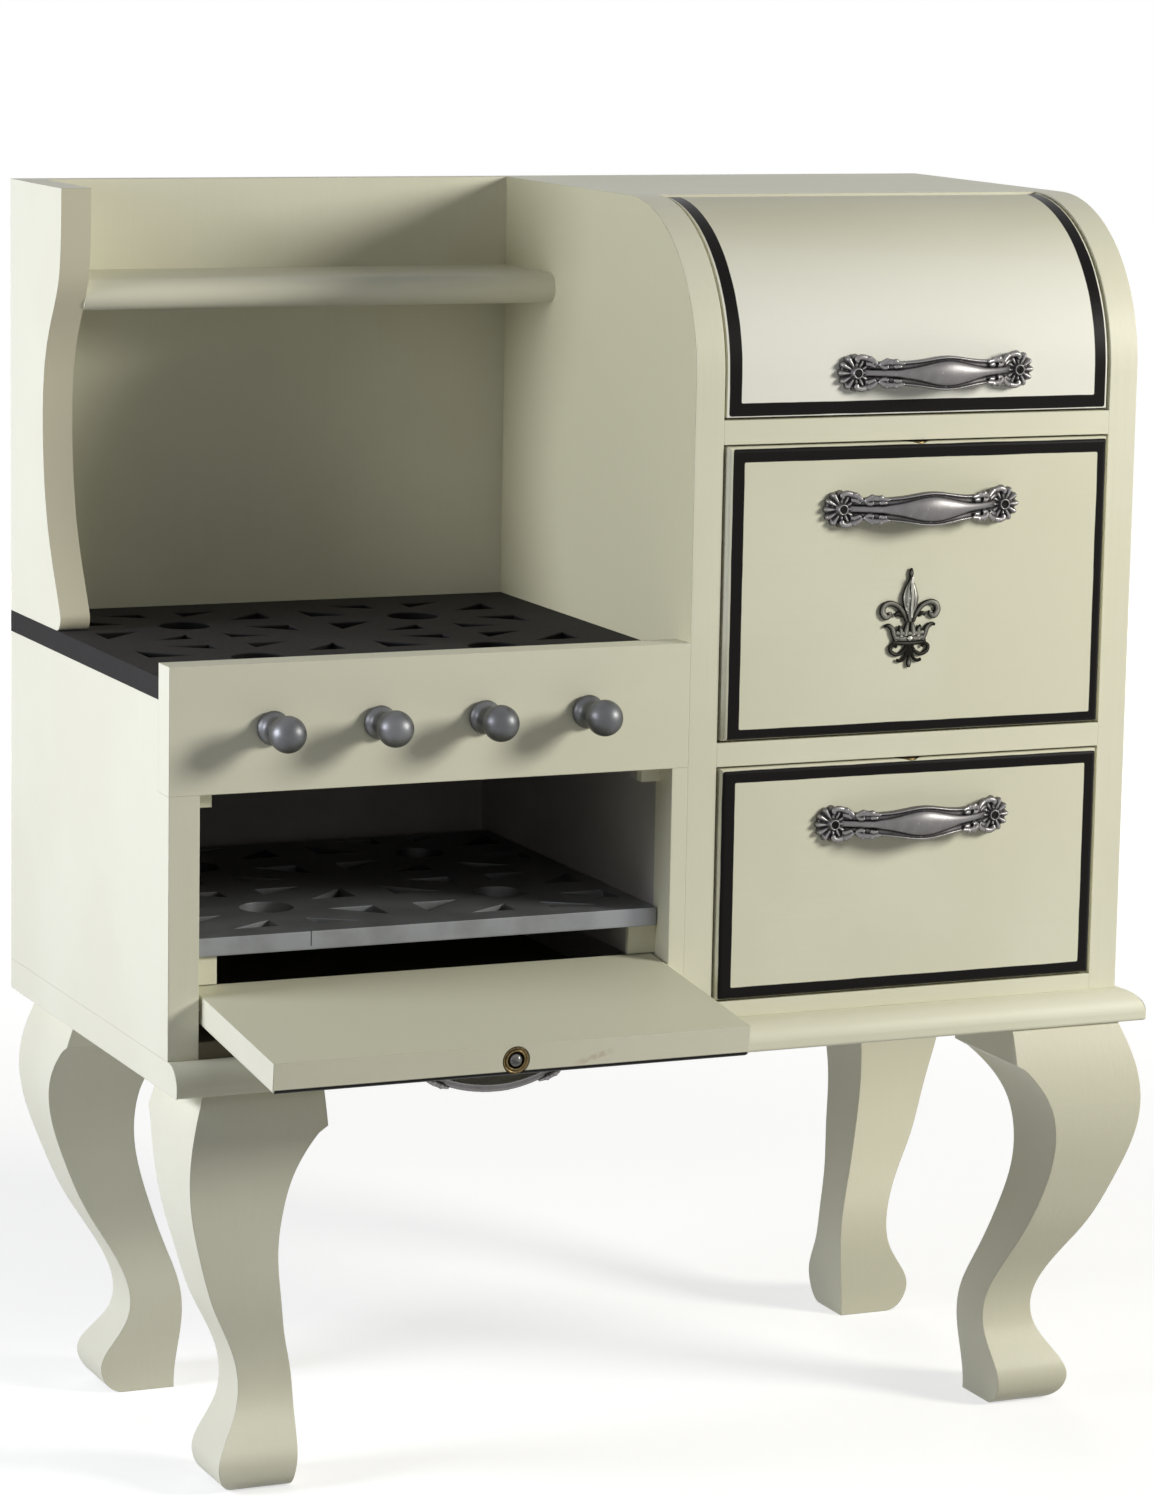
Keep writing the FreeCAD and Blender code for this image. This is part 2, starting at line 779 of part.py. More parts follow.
def catch_cuts(edge):
    return [rod(cup_flange_radius, edge - Z_AXIS * cup_flange_thick, edge + Z_AXIS * overrun),
            rod(cup_barrel_radius, edge - Z_AXIS * cup_barrel_depth, edge + Z_AXIS * overrun)]


def open_oven_door(shape):
    """Swings a piece of the oven door from closed to where it hangs open."""
    turned = shape.copy()
    turned.rotate(Vec(0, hinge_line, hinge_height(floor_top)), X_AXIS, oven_open_angle)
    return turned


def stay_closed(shape):
    return shape


def make_drop_door(name, left, right, bottom, top, handle_drop, swing):
    """A door that drops open on two pins near its lower edge."""
    middle = (left + right) / 2
    handle_place = Vec(middle, -door_proud, top - door_top_gap - handle_drop)
    pins = hinge_pins(left, right, hinge_line, hinge_height(bottom))
    edge = strike_point(middle, top) - Z_AXIS * door_top_gap
    cup, ball, spring = make_catch(edge)
    door = slab(left, right, bottom, top)
    door = door.cut(pins + screw_holes(handle_place) + catch_cuts(edge))
    handle = make_handle()
    handle.translate(handle_place)
    screws = Part.makeCompound(handle_screws())
    screws.translate(handle_place)
    save(name + "_door", swing(door))
    save(name + "_door_pins", swing(Part.makeCompound(pins)))
    save(name + "_door_handle", swing(handle))
    save(name + "_handle_screws", swing(screws))
    save(name + "_catch_cup", swing(cup))
    save(name + "_catch_ball", swing(ball))
    save(name + "_catch_spring", swing(spring))


def make_roll_door():
    """The curved top door, closed over the round front of the cabinet."""
    left = cabinet_left + door_side_gap
    right = cabinet_right - door_side_gap
    center = Vec(left, corner_radius, roll_center_z)
    y, z = roll_pivot()
    lean = math.asin(knuckle / roll_mid)

    def spot(radius, turn):
        return center + Vec(0, -radius * math.sin(turn), radius * math.cos(turn))

    bottom = upper_shelf_top + door_bottom_gap
    quarter = math.pi / 2
    halfway = (lean + quarter) / 2
    outer_low = Vec(left, corner_radius - roll_outer, bottom)
    inner_low = Vec(left, corner_radius - roll_inner, bottom)
    edges = [
        arc(spot(roll_outer, lean), spot(roll_outer, halfway), spot(roll_outer, quarter)),
        line(spot(roll_outer, quarter), outer_low),
        line(outer_low, inner_low),
        line(inner_low, spot(roll_inner, quarter)),
        arc(spot(roll_inner, quarter), spot(roll_inner, halfway), spot(roll_inner, lean)),
        line(spot(roll_inner, lean), spot(roll_outer, lean)),
    ]
    width = right - left
    shell = solid_of(edges, X_AXIS * width)
    shell = shell.fuse(rod(knuckle, Vec(left, y, z), Vec(right, y, z))).removeSplitter()
    pins = hinge_pins(cabinet_left, cabinet_right, y, z)
    surface = corner_radius - roll_outer
    place = Vec(cabinet_middle + roll_handle_shift, surface, bottom + roll_handle_rise)
    shell = shell.cut(pins + screw_holes(place))
    handle = make_handle()
    handle.translate(place)
    clear = rod(roll_outer + pin_play, Vec(cabinet_left, corner_radius, roll_center_z),
                Vec(cabinet_right, corner_radius, roll_center_z))
    handle = handle.cut(clear)
    screws = Part.makeCompound(handle_screws())
    screws.translate(place)
    save("roll_door", shell)
    save("roll_door_pins", Part.makeCompound(pins))
    save("roll_door_handle", handle)
    save("roll_handle_screws", screws)


# The ornament: a lily over a crown. Its outlines are shares of the ornament's half width and
# of its height, measured from its middle line and its lowest point.

upper_petal_shares = [(0.0, 1.0), (0.10, 0.94), (0.05, 0.885), (0.20, 0.80), (0.27, 0.70),
                      (0.20, 0.60), (0.10, 0.52), (0.10, 0.44), (0.0, 0.42)]
side_petal_shares = [(0.08, 0.46), (0.16, 0.56), (0.30, 0.66), (0.50, 0.745), (0.78, 0.74),
                     (0.98, 0.665), (0.95, 0.585), (0.82, 0.56), (0.72, 0.60), (0.78, 0.65),
                     (0.66, 0.67), (0.52, 0.62), (0.42, 0.53), (0.36, 0.46)]
crown_shares = [(0.0, 0.50), (0.10, 0.435), (0.26, 0.415), (0.46, 0.475), (0.62, 0.43),
                (0.80, 0.445), (0.72, 0.37), (0.60, 0.30), (0.56, 0.265), (0.0, 0.25)]
scroll_shares = [(0.0, 0.27), (0.42, 0.27), (0.64, 0.25), (0.72, 0.19), (0.62, 0.13),
                 (0.46, 0.125), (0.40, 0.17), (0.30, 0.20), (0.20, 0.17), (0.24, 0.11),
                 (0.12, 0.075), (0.0, 0.0)]


def make_emblem():
    middle = cabinet_middle + emblem_shift
    door_height = upper_shelf_bottom - door_top_gap - lower_shelf_top - door_bottom_gap
    top = upper_shelf_bottom - door_top_gap - emblem_drop_share * door_height
    low = top - emblem_height
    front = -door_proud - emblem_thick
    half = emblem_width / 2
    pieces = []
    for shares in (upper_petal_shares, side_petal_shares, crown_shares, scroll_shares):
        for way in (-1, 1):
            points = [Vec(middle + way * s * half, front, low + r * emblem_height)
                      for s, r in shares]
            pieces.append(prism(points, Y_AXIS * emblem_thick))
    return pieces[0].fuse(pieces[1:]).removeSplitter()


def make_doors():
    make_drop_door("oven", stock, liner_face, floor_top, oven_top,
                   lower_handle_drop, open_oven_door)
    make_drop_door("lower", cabinet_left, cabinet_right, floor_top, lower_shelf_bottom,
                   lower_handle_drop, stay_closed)
    make_drop_door("middle", cabinet_left, cabinet_right, lower_shelf_top, upper_shelf_bottom,
                   middle_handle_drop, stay_closed)
    make_roll_door()
    save("middle_door_emblem", make_emblem())


os.makedirs("parts", exist_ok=True)
make_legs()
make_carcase()
make_oven_fittings()
make_cabinet_stops()
make_knobs()
make_doors()
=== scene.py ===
import json
import math

import bmesh
import bpy
from mathutils import Matrix, Quaternion, Vector


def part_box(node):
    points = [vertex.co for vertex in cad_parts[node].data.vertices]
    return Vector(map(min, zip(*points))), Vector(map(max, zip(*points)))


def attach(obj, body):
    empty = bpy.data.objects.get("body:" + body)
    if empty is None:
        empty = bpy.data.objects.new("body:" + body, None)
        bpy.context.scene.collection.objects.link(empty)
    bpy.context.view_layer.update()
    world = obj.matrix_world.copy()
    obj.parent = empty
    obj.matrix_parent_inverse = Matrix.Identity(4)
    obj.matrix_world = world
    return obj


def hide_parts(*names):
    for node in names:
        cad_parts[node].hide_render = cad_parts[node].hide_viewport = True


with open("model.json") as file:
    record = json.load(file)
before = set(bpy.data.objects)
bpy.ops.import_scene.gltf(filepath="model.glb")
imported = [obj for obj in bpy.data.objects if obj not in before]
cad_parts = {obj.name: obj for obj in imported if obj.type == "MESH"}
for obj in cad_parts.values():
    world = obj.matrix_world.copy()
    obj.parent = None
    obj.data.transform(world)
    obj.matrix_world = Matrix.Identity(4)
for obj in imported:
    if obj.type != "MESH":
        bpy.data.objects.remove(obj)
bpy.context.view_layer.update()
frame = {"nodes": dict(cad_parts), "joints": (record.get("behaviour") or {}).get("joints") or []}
nodes = frame["nodes"]
hinges = {joint["name"]: joint for joint in frame["joints"]}
mm = 0.001
print("frame loaded:", len(nodes), "nodes")


# the oven door hangs open at rest, so what is on it is laid out closed and then swung

ovenPivot = Vector(hinges["oven_door_hinge"]["pos_m"])
ovenSwing = math.radians(-hinges["oven_door_hinge"]["range_deg"][0])
openOven = (Matrix.Translation(ovenPivot) @ Matrix.Rotation(ovenSwing, 4, "X")
            @ Matrix.Translation(-ovenPivot))
shut = Matrix.Identity(4)


def closedBox(node, swing=shut):   # lowest and highest corner of a node, its door closed
    back = swing.inverted()
    points = [back @ v.co for v in nodes[node].data.vertices]
    low = Vector([min(p[i] for p in points) for i in range(3)])
    high = Vector([max(p[i] for p in points) for i in range(3)])
    return low, high


# node helpers

def startMaterial(name):
    material = bpy.data.materials.new(name)
    material.use_nodes = True
    tree = material.node_tree
    tree.nodes.clear()
    output = tree.nodes.new("ShaderNodeOutputMaterial")
    shader = tree.nodes.new("ShaderNodeBsdfPrincipled")
    tree.links.new(shader.outputs["BSDF"], output.inputs["Surface"])
    return material, tree, shader


def feed(tree, socket, value):     # a socket gets a link or a plain value
    if isinstance(value, bpy.types.NodeSocket):
        tree.links.new(value, socket)
    else:
        socket.default_value = value


def calc(tree, operation, a, b=0.0, clamp=False, c=None):
    node = tree.nodes.new("ShaderNodeMath")
    node.operation = operation
    node.use_clamp = clamp
    feed(tree, node.inputs[0], a)
    feed(tree, node.inputs[1], b)
    if c is not None:
        feed(tree, node.inputs[2], c)
    return node.outputs[0]


def dot(tree, vector, direction):
    node = tree.nodes.new("ShaderNodeVectorMath")
    node.operation = "DOT_PRODUCT"
    feed(tree, node.inputs[0], vector)
    feed(tree, node.inputs[1], direction)
    return node.outputs["Value"]


def fade(tree, value, low, high):  # 0 below low, 1 above high, smooth between
    node = tree.nodes.new("ShaderNodeMapRange")
    node.interpolation_type = "SMOOTHSTEP"
    feed(tree, node.inputs["Value"], value)
    node.inputs["From Min"].default_value = low
    node.inputs["From Max"].default_value = high
    return node.outputs["Result"]


def blendColor(tree, factor, a, b):
    node = tree.nodes.new("ShaderNodeMix")
    node.data_type = "RGBA"
    feed(tree, node.inputs[0], factor)
    feed(tree, node.inputs[6], a if isinstance(a, bpy.types.NodeSocket) else (*a, 1))
    feed(tree, node.inputs[7], b if isinstance(b, bpy.types.NodeSocket) else (*b, 1))
    return node.outputs[2]


def blendValue(tree, factor, a, b):
    node = tree.nodes.new("ShaderNodeMix")
    node.data_type = "FLOAT"
    feed(tree, node.inputs[0], factor)
    feed(tree, node.inputs[2], a)
    feed(tree, node.inputs[3], b)
    return node.outputs[0]


def objectCoords(tree):
    return tree.nodes.new("ShaderNodeTexCoord").outputs["Object"]


def noiseAt(tree, coords, scale, detail=3.0, stretch=(1, 1, 1)):
    mapping = tree.nodes.new("ShaderNodeMapping")
    mapping.inputs["Scale"].default_value = stretch
    texture = tree.nodes.new("ShaderNodeTexNoise")
    texture.inputs["Scale"].default_value = scale
    texture.inputs["Detail"].default_value = detail
    tree.links.new(coords, mapping.inputs["Vector"])
    tree.links.new(mapping.outputs["Vector"], texture.inputs["Vector"])
    return texture.outputs["Fac"]


def roundedNormal(tree, radius):
    bevel = tree.nodes.new("ShaderNodeBevel")
    bevel.samples = 4
    bevel.inputs["Radius"].default_value = radius
    return bevel.outputs["Normal"]


def bump(tree, height, depth, normal=None):
    node = tree.nodes.new("ShaderNodeBump")
    node.inputs["Strength"].default_value = 1.0
    node.inputs["Distance"].default_value = depth
    tree.links.new(height, node.inputs["Height"])
    if normal:
        tree.links.new(normal, node.inputs["Normal"])
    return node.outputs["Normal"]


# 1 along the arrises, from how far the rounded normal leaves the face's own
def edgeWear(tree, normal):
    flat = tree.nodes.new("ShaderNodeNewGeometry").outputs["True Normal"]
    turn = calc(tree, "SUBTRACT", 1.0, dot(tree, normal, flat))
    return fade(tree, turn, 0.03, 0.3)


# 1 inside a box in the frame, fading out over soft
def insideBox(tree, coords, low, high, soft):
    split = tree.nodes.new("ShaderNodeSeparateXYZ")
    tree.links.new(coords, split.inputs[0])
    mask = None
    for axis in range(3):
        enter = fade(tree, split.outputs[axis], low[axis] - soft, low[axis] + soft)
        leave = fade(tree, split.outputs[axis], high[axis] - soft, high[axis] + soft)
        both = calc(tree, "SUBTRACT", enter, leave)
        mask = both if mask is None else calc(tree, "MULTIPLY", mask, both)
    return mask


# painted wood

creamPaint = {
    "color": (0.765, 0.752, 0.615),
    "aged": (0.735, 0.721, 0.580),
    "rubbed": (0.52, 0.47, 0.35),
    "roughness": 0.42,
    "gloss": 0.35,
    "doorGloss": 0.08,       # lower, or the black lines on the doors shine grey
    "patchScale": 11.0,      # noise scales are per metre
    "speckScale": 900.0,
    "grainAlong": 14.0,
    "grainAcross": 420.0,
    "grainDepth": 0.05 * mm,
    "arris": 0.5 * mm,
    "wear": 0.25,
}

# the black lines: where each starts and ends from the door's edges, and how far back, in mm
doorLines = {
    "color": (0.006, 0.005, 0.005), "roughness": 0.34, "wobble": 0.22 * mm, "waveScale": 60.0,
    "corner": 1.6 * mm, "innerCorner": 0.9 * mm, "soft": 0.12 * mm, "backSoft": 0.2 * mm,
    "middle_door": {"left": (1.8, 6.2), "top": (0.7, 5.4), "right": (0.3, 4.1),
                    "bottom": (0.2, 3.8), "back": 1.2},
    "lower_door": {"left": (0.6, 5.4), "top": (0.7, 5.0), "right": (0.3, 5.0),
                   "bottom": (0.2, 4.4), "back": 1.2},
    "oven_door": {"left": (0.6, 5.4), "top": (-1.0, 5.2), "right": (0.6, 5.2),
                  "bottom": (0.4, 4.6), "back": 1.8},
    "roll_door": {"left": (0.9, 5.6), "right": (0.5, 5.0), "bottom": (0.4, 4.9), "back": 1.2},
}

# painted shade and sheen: cream for faces that look one way, fitted to the reference view;
# darker cream paints shade in, lighter cream paints the sheen low on the rounded door: that
# way, how far a face is turned to it where the shade begins and is full, and the shade
paintedShadeAndSheen = {
    "divider": {"way": (-1, 0, 0), "turned": (0.5, 0.9), "color": (0.615, 0.590, 0.405)},
    "hood_side": {"way": (0, -1, 0), "turned": (0.5, 0.9), "color": (0.640, 0.600, 0.450)},
    "oven_door": {"way": (0, 0, 1), "turned": (0.5, 0.9), "color": (0.640, 0.630, 0.485)},
    "leg": {"way": (0, -1, 0), "turned": (0.5, 0.9), "color": (0.650, 0.630, 0.500)},
    "roll_door": {"way": (0, -1, 0), "turned": (0.45, 1.0), "color": (0.880, 0.875, 0.810)},
}

ovenPaint = {"color": (0.390, 0.368, 0.360), "light": (0.510, 0.484, 0.472), "roughness": 0.75,
             "frontStrip": 13.5 * mm, "soft": 0.4 * mm}

ovenLow = Vector(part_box("oven_floor")[0]) + Vector((-0.4 * mm, ovenPaint["frontStrip"], 6 * mm))
ovenHigh = Vector((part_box("oven_liner")[0].x + 0.6 * mm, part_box("back_panel")[0].y + 0.6 * mm,
                   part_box("oven_ceiling")[1].z))


def grainStretch(grain):           # brush strokes and wood grain run along one axis
    along = creamPaint["grainAlong"]
    across = creamPaint["grainAcross"]
    return tuple(along if axis == grain else across for axis in "XYZ")


# cream paint on wood; border draws a door's black lines, oven darkens the cavity's walls,
# and tint paints shade or sheen into the faces that look one way on their piece, as a darker
# or lighter cream
def paintedWood(name, grain="Z", border=None, oven=False, smudge=None, tint=None):
    material, tree, shader = startMaterial(name)
    coords = objectCoords(tree)
    patches = noiseAt(tree, coords, creamPaint["patchScale"], 4.0)
    strokes = noiseAt(tree, coords, 1.0, 3.0, grainStretch(grain))
    specks = noiseAt(tree, coords, creamPaint["speckScale"], 2.0)
    fresh = fade(tree, patches, 0.42, 0.62)
    color = blendColor(tree, fresh, creamPaint["aged"], creamPaint["color"])
    strokeMask = calc(tree, "MULTIPLY", fade(tree, strokes, 0.52, 0.75), 0.35)
    color = blendColor(tree, strokeMask, color, creamPaint["aged"])
    normal = roundedNormal(tree, creamPaint["arris"])
    worn = calc(tree, "MULTIPLY", edgeWear(tree, normal), fade(tree, patches, 0.40, 0.70))
    worn = calc(tree, "MULTIPLY", worn, creamPaint["wear"])
    color = blendColor(tree, worn, color, creamPaint["rubbed"])
    roughness = blendValue(tree, patches, creamPaint["roughness"] - 0.06,
                           creamPaint["roughness"] + 0.10)
    # painted shade or sheen: faces turned the tint's way take its darker or lighter cream
    if tint:
        facing = dot(tree, tree.nodes.new("ShaderNodeTexCoord").outputs["Normal"], tint["way"])
        color = blendColor(tree, fade(tree, facing, *tint["turned"]), color, tint["color"])
    if smudge:
        color = blendColor(tree, smudge(tree, coords), color, doorRub["color"])
    if oven:
        dark = insideBox(tree, coords, ovenLow, ovenHigh, ovenPaint["soft"])
        pale = fade(tree, patches, 0.35, 0.65)
        soot = blendColor(tree, pale, ovenPaint["color"], ovenPaint["light"])
        color = blendColor(tree, dark, color, soot)
        roughness = blendValue(tree, dark, roughness, ovenPaint["roughness"])
    if border:
        mask = border(tree, coords)
        color = blendColor(tree, mask, color, doorLines["color"])
        roughness = blendValue(tree, mask, roughness, doorLines["roughness"])
    height = calc(tree, "ADD", strokes, calc(tree, "MULTIPLY", specks, 0.4))
    feed(tree, shader.inputs["Base Color"], color)
    feed(tree, shader.inputs["Roughness"], roughness)
    gloss = creamPaint["doorGloss" if border else "gloss"]
    shader.inputs["Specular IOR Level"].default_value = gloss
    feed(tree, shader.inputs["Normal"], bump(tree, height, creamPaint["grainDepth"], normal))
    return material


# how deep a point lies inside a rounded rectangle; sides are distances from its edges
def insideLine(tree, sides, starts, corner):
    depth = None
    for side, start in zip(sides, starts):
        gap = calc(tree, "SUBTRACT", side, start * mm)
        depth = gap if depth is None else calc(tree, "SMOOTH_MIN", depth, gap, c=corner)
    return depth


def brushedBand(tree, coords, sides, ranges):   # between an outer and an inner rectangle
    wave = calc(tree, "SUBTRACT", noiseAt(tree, coords, doorLines["waveScale"], 2.0), 0.5)
    wave = calc(tree, "MULTIPLY", wave, doorLines["wobble"] * 2)
    outer = insideLine(tree, sides, [low for low, _ in ranges], doorLines["corner"])
    inner = insideLine(tree, sides, [high for _, high in ranges], doorLines["innerCorner"])
    soft = doorLines["soft"]
    on = fade(tree, calc(tree, "ADD", outer, wave), -soft, soft)
    off = fade(tree, calc(tree, "SUBTRACT", inner, wave), -soft, soft)
    return calc(tree, "MULTIPLY", on, calc(tree, "SUBTRACT", 1.0, off))


def flatBorder(node, swing=shut):   # a black line round the outer face of a door
    low, high = closedBox(node, swing)
    turn = swing.to_3x3()
    up = turn @ Vector((0, 0, 1))
    out = turn @ Vector((0, -1, 0))
    lowSpot, highSpot = swing @ low, swing @ high
    ranges = [doorLines[node][side] for side in ("left", "right", "bottom", "top")]

    def mask(tree, coords):
        across = dot(tree, coords, (1, 0, 0))
        along = dot(tree, coords, up)
        sides = [calc(tree, "SUBTRACT", across, low.x), calc(tree, "SUBTRACT", high.x, across),
                 calc(tree, "SUBTRACT", along, lowSpot.dot(up)),
                 calc(tree, "SUBTRACT", highSpot.dot(up), along)]
        face = lowSpot.dot(out) - doorLines[node]["back"] * mm
        soft = doorLines["backSoft"]
        front = fade(tree, dot(tree, coords, out), face - soft, face + soft)
        return calc(tree, "MULTIPLY", brushedBand(tree, coords, sides, ranges), front)

    return mask


rollLow, rollHigh = closedBox("roll_door")
shoulder = 60 * mm                  # radius of the cabinet sides' round corners
sideLow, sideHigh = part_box("right_side")
rollCenter = Vector((0, sideLow.y + shoulder, sideHigh.z - shoulder))


def rollBorder(tree, coords):       # the line at the sides and foot of the rounded door
    across = dot(tree, coords, (1, 0, 0))
    height = dot(tree, coords, (0, 0, 1))
    sides = [calc(tree, "SUBTRACT", across, rollLow.x), calc(tree, "SUBTRACT", rollHigh.x, across),
             calc(tree, "SUBTRACT", height, rollLow.z)]
    ranges = [doorLines["roll_door"][side] for side in ("left", "right", "bottom")]
    rise = calc(tree, "MAXIMUM", calc(tree, "SUBTRACT", height, rollCenter.z), 0.0)
    depth = calc(tree, "SUBTRACT", dot(tree, coords, (0, 1, 0)), rollCenter.y)
    squares = calc(tree, "ADD", calc(tree, "MULTIPLY", rise, rise),
                   calc(tree, "MULTIPLY", depth, depth))
    face = rollCenter.y - rollLow.y - doorLines["roll_door"]["back"] * mm
    soft = doorLines["backSoft"]
    front = fade(tree, calc(tree, "SQRT", squares), face - soft, face + soft)
    return calc(tree, "MULTIPLY", brushedBand(tree, coords, sides, ranges), front)


matte = {"patchScale": 22.0, "fineScale": 700.0, "fineDepth": 0.06 * mm, "arris": 0.6 * mm,
         "wear": 0.35, "roughness": (0.70, 0.90), "gloss": 0.12}
# the last colour of stoveBlack is a painted shade, near-black, for the walls of the hob's holes
stoveBlack = {"color": (0.020, 0.019, 0.019), "dust": (0.048, 0.046, 0.044),
              "holeShade": (0.002, 0.002, 0.002)}
ovenBrown = {"color": (0.150, 0.130, 0.092), "dust": (0.210, 0.185, 0.135)}


# matte paint, a little dusty on its arrises; inside the box given as hollow it is painted near
# black, a painted shade for the shadow down the walls of the hob's holes
def mattePaint(name, look, shadedBox=None):
    material, tree, shader = startMaterial(name)
    coords = objectCoords(tree)
    patches = noiseAt(tree, coords, matte["patchScale"], 4.0)
    fine = noiseAt(tree, coords, matte["fineScale"], 3.0)
    normal = roundedNormal(tree, matte["arris"])
    tone = blendColor(tree, calc(tree, "MULTIPLY", patches, 0.5), look["color"], look["dust"])
    worn = calc(tree, "MULTIPLY", edgeWear(tree, normal), matte["wear"])
    tone = blendColor(tree, worn, tone, look["dust"])
    if shadedBox:
        # painted shade: near-black inside the box, where the holes' walls lie in shadow
        inside = insideBox(tree, coords, *shadedBox, 0.2 * mm)
        tone = blendColor(tree, inside, tone, look["holeShade"])
    feed(tree, shader.inputs["Base Color"], tone)
    feed(tree, shader.inputs["Roughness"], blendValue(tree, fine, *matte["roughness"]))
    shader.inputs["Specular IOR Level"].default_value = matte["gloss"]
    feed(tree, shader.inputs["Normal"], bump(tree, fine, matte["fineDepth"], normal))
    return material


silver = {"patchScale": 60.0, "flakeScale": 2600.0, "flakeDepth": 0.03 * mm, "arris": 0.5 * mm,
          "roughness": (0.34, 0.52)}
# back is a painted shade for the rack deeper in the oven, full from fadeFrom to fadeTo behind its
# front
rackSilver = {"color": (0.28, 0.29, 0.31), "dark": (0.21, 0.215, 0.225), "metal": 0.55,
              "back": (0.060, 0.058, 0.057), "fadeFrom": 12 * mm, "fadeTo": 110 * mm,
              "nick": (0.03, 0.03, 0.03), "nickAt": -132.0 * mm, "nickHalf": 0.2 * mm,
              "nickDeep": 5.2 * mm}
knobPaint = {"color": (0.155, 0.157, 0.165), "dark": (0.095, 0.097, 0.102), "metal": 0.85}


# silver paint with a flake, with painted shade that darkens it towards the back of the oven
# over the span given; scratch is a dark nick
def silverPaint(name, look, paintedShadeBack=None, scratch=None):
    material, tree, shader = startMaterial(name)
    coords = objectCoords(tree)
    patches = noiseAt(tree, coords, silver["patchScale"], 4.0)
    flake = noiseAt(tree, coords, silver["flakeScale"], 1.0)
    normal = roundedNormal(tree, silver["arris"])
    tone = blendColor(tree, fade(tree, patches, 0.35, 0.60), look["dark"], look["color"])
    tone = blendColor(tree, calc(tree, "MULTIPLY", flake, 0.5), tone, look["color"])
    if paintedShadeBack:
        # painted shade: darker deeper into the oven
        depth = fade(tree, dot(tree, coords, (0, 1, 0)), *paintedShadeBack)
        depth = calc(tree, "MULTIPLY", depth, blendValue(tree, patches, 0.75, 1.0))
        tone = blendColor(tree, depth, tone, look["back"])
    if scratch:
        inside = insideBox(tree, coords, *scratch, 0.15 * mm)
        tone = blendColor(tree, inside, tone, look["nick"])
    feed(tree, shader.inputs["Base Color"], tone)
    shader.inputs["Metallic"].default_value = look["metal"]
    feed(tree, shader.inputs["Roughness"], blendValue(tree, flake, *silver["roughness"]))
    feed(tree, shader.inputs["Normal"], bump(tree, flake, silver["flakeDepth"], normal))
    return material


casting = {"patchScale": 300.0, "uneven": 0.018, "roughness": (0.55, 0.34),
           "grainScale": 1500.0, "grainDepth": 0.03 * mm}

# rubbed gives the pointiness, and crest the heights off the door, where bright begins and is full
pullPewter = {"bright": (0.235, 0.226, 0.228), "dark": (0.042, 0.038, 0.040),
              "rubbed": (0.468, 0.530)}
lilyPewter = {"bright": (0.55, 0.54, 0.48), "dark": (0.010, 0.009, 0.007),
              "rubbed": (0.482, 0.538), "crest": (1.05 * mm, 1.60 * mm)}


# cast metal, dark in its hollows and bright on its ridges, and on a low relief only above the
# crest heights off the face
def castPewter(name, look, face=None):
    material, tree, shader = startMaterial(name)
    coords = objectCoords(tree)
    ridges = tree.nodes.new("ShaderNodeNewGeometry").outputs["Pointiness"]
    patches = noiseAt(tree, coords, casting["patchScale"], 3.0)
    uneven = calc(tree, "MULTIPLY", calc(tree, "SUBTRACT", patches, 0.5), casting["uneven"])
    rubbed = fade(tree, calc(tree, "ADD", ridges, uneven), *look["rubbed"])
    if "crest" in look:
        height = calc(tree, "SUBTRACT", face, dot(tree, coords, (0, 1, 0)))
        rubbed = calc(tree, "MULTIPLY", rubbed, fade(tree, height, *look["crest"]))
    feed(tree, shader.inputs["Base Color"],
         blendColor(tree, rubbed, look["dark"], look["bright"]))
    shader.inputs["Metallic"].default_value = 1.0
    feed(tree, shader.inputs["Roughness"], blendValue(tree, rubbed, *casting["roughness"]))
    grain = noiseAt(tree, coords, casting["grainScale"], 2.0)
    feed(tree, shader.inputs["Normal"], bump(tree, grain, casting["grainDepth"]))
    return material


plain = {"patchScale": 500.0, "patchDepth": 0.02 * mm, "arris": 0.2 * mm}
plainMetals = {     # colour, tarnish, roughness
    "agedBrassStrike": ((0.55, 0.42, 0.20), (0.24, 0.15, 0.07), 0.35),
    "plainSteel": ((0.50, 0.50, 0.51), (0.25, 0.25, 0.26), 0.35),
    "darkScrew": ((0.018, 0.017, 0.016), (0.006, 0.006, 0.006), 0.55),
    "agedBrass": ((0.34, 0.25, 0.12), (0.12, 0.08, 0.04), 0.35),
    "catchBallSteel": ((0.15, 0.145, 0.14), (0.06, 0.06, 0.06), 0.28),
}


def plainMetal(name):
    color, tarnish, roughness = plainMetals[name]
    material, tree, shader = startMaterial(name)
    coords = objectCoords(tree)
    patches = noiseAt(tree, coords, plain["patchScale"], 3.0)
    clean = fade(tree, patches, 0.35, 0.65)
    feed(tree, shader.inputs["Base Color"], blendColor(tree, clean, tarnish, color))
    shader.inputs["Metallic"].default_value = 1.0
    feed(tree, shader.inputs["Roughness"],
         blendValue(tree, patches, roughness - 0.08, roughness + 0.12))
    normal = roundedNormal(tree, plain["arris"])
    feed(tree, shader.inputs["Normal"], bump(tree, patches, plain["patchDepth"], normal))
    return material


dowelWood = {"dark": (0.45, 0.30, 0.16), "light": (0.66, 0.50, 0.31), "roughness": (0.55, 0.75),
             "stretch": (300, 300, 20), "depth": 0.05 * mm}


def bareWood(name):
    material, tree, shader = startMaterial(name)
    rings = noiseAt(tree, objectCoords(tree), 1.0, 3.0, dowelWood["stretch"])
    feed(tree, shader.inputs["Base Color"],
         blendColor(tree, rings, dowelWood["dark"], dowelWood["light"]))
    feed(tree, shader.inputs["Roughness"], blendValue(tree, rings, *dowelWood["roughness"]))
    feed(tree, shader.inputs["Normal"], bump(tree, rings, dowelWood["depth"]))
    return material


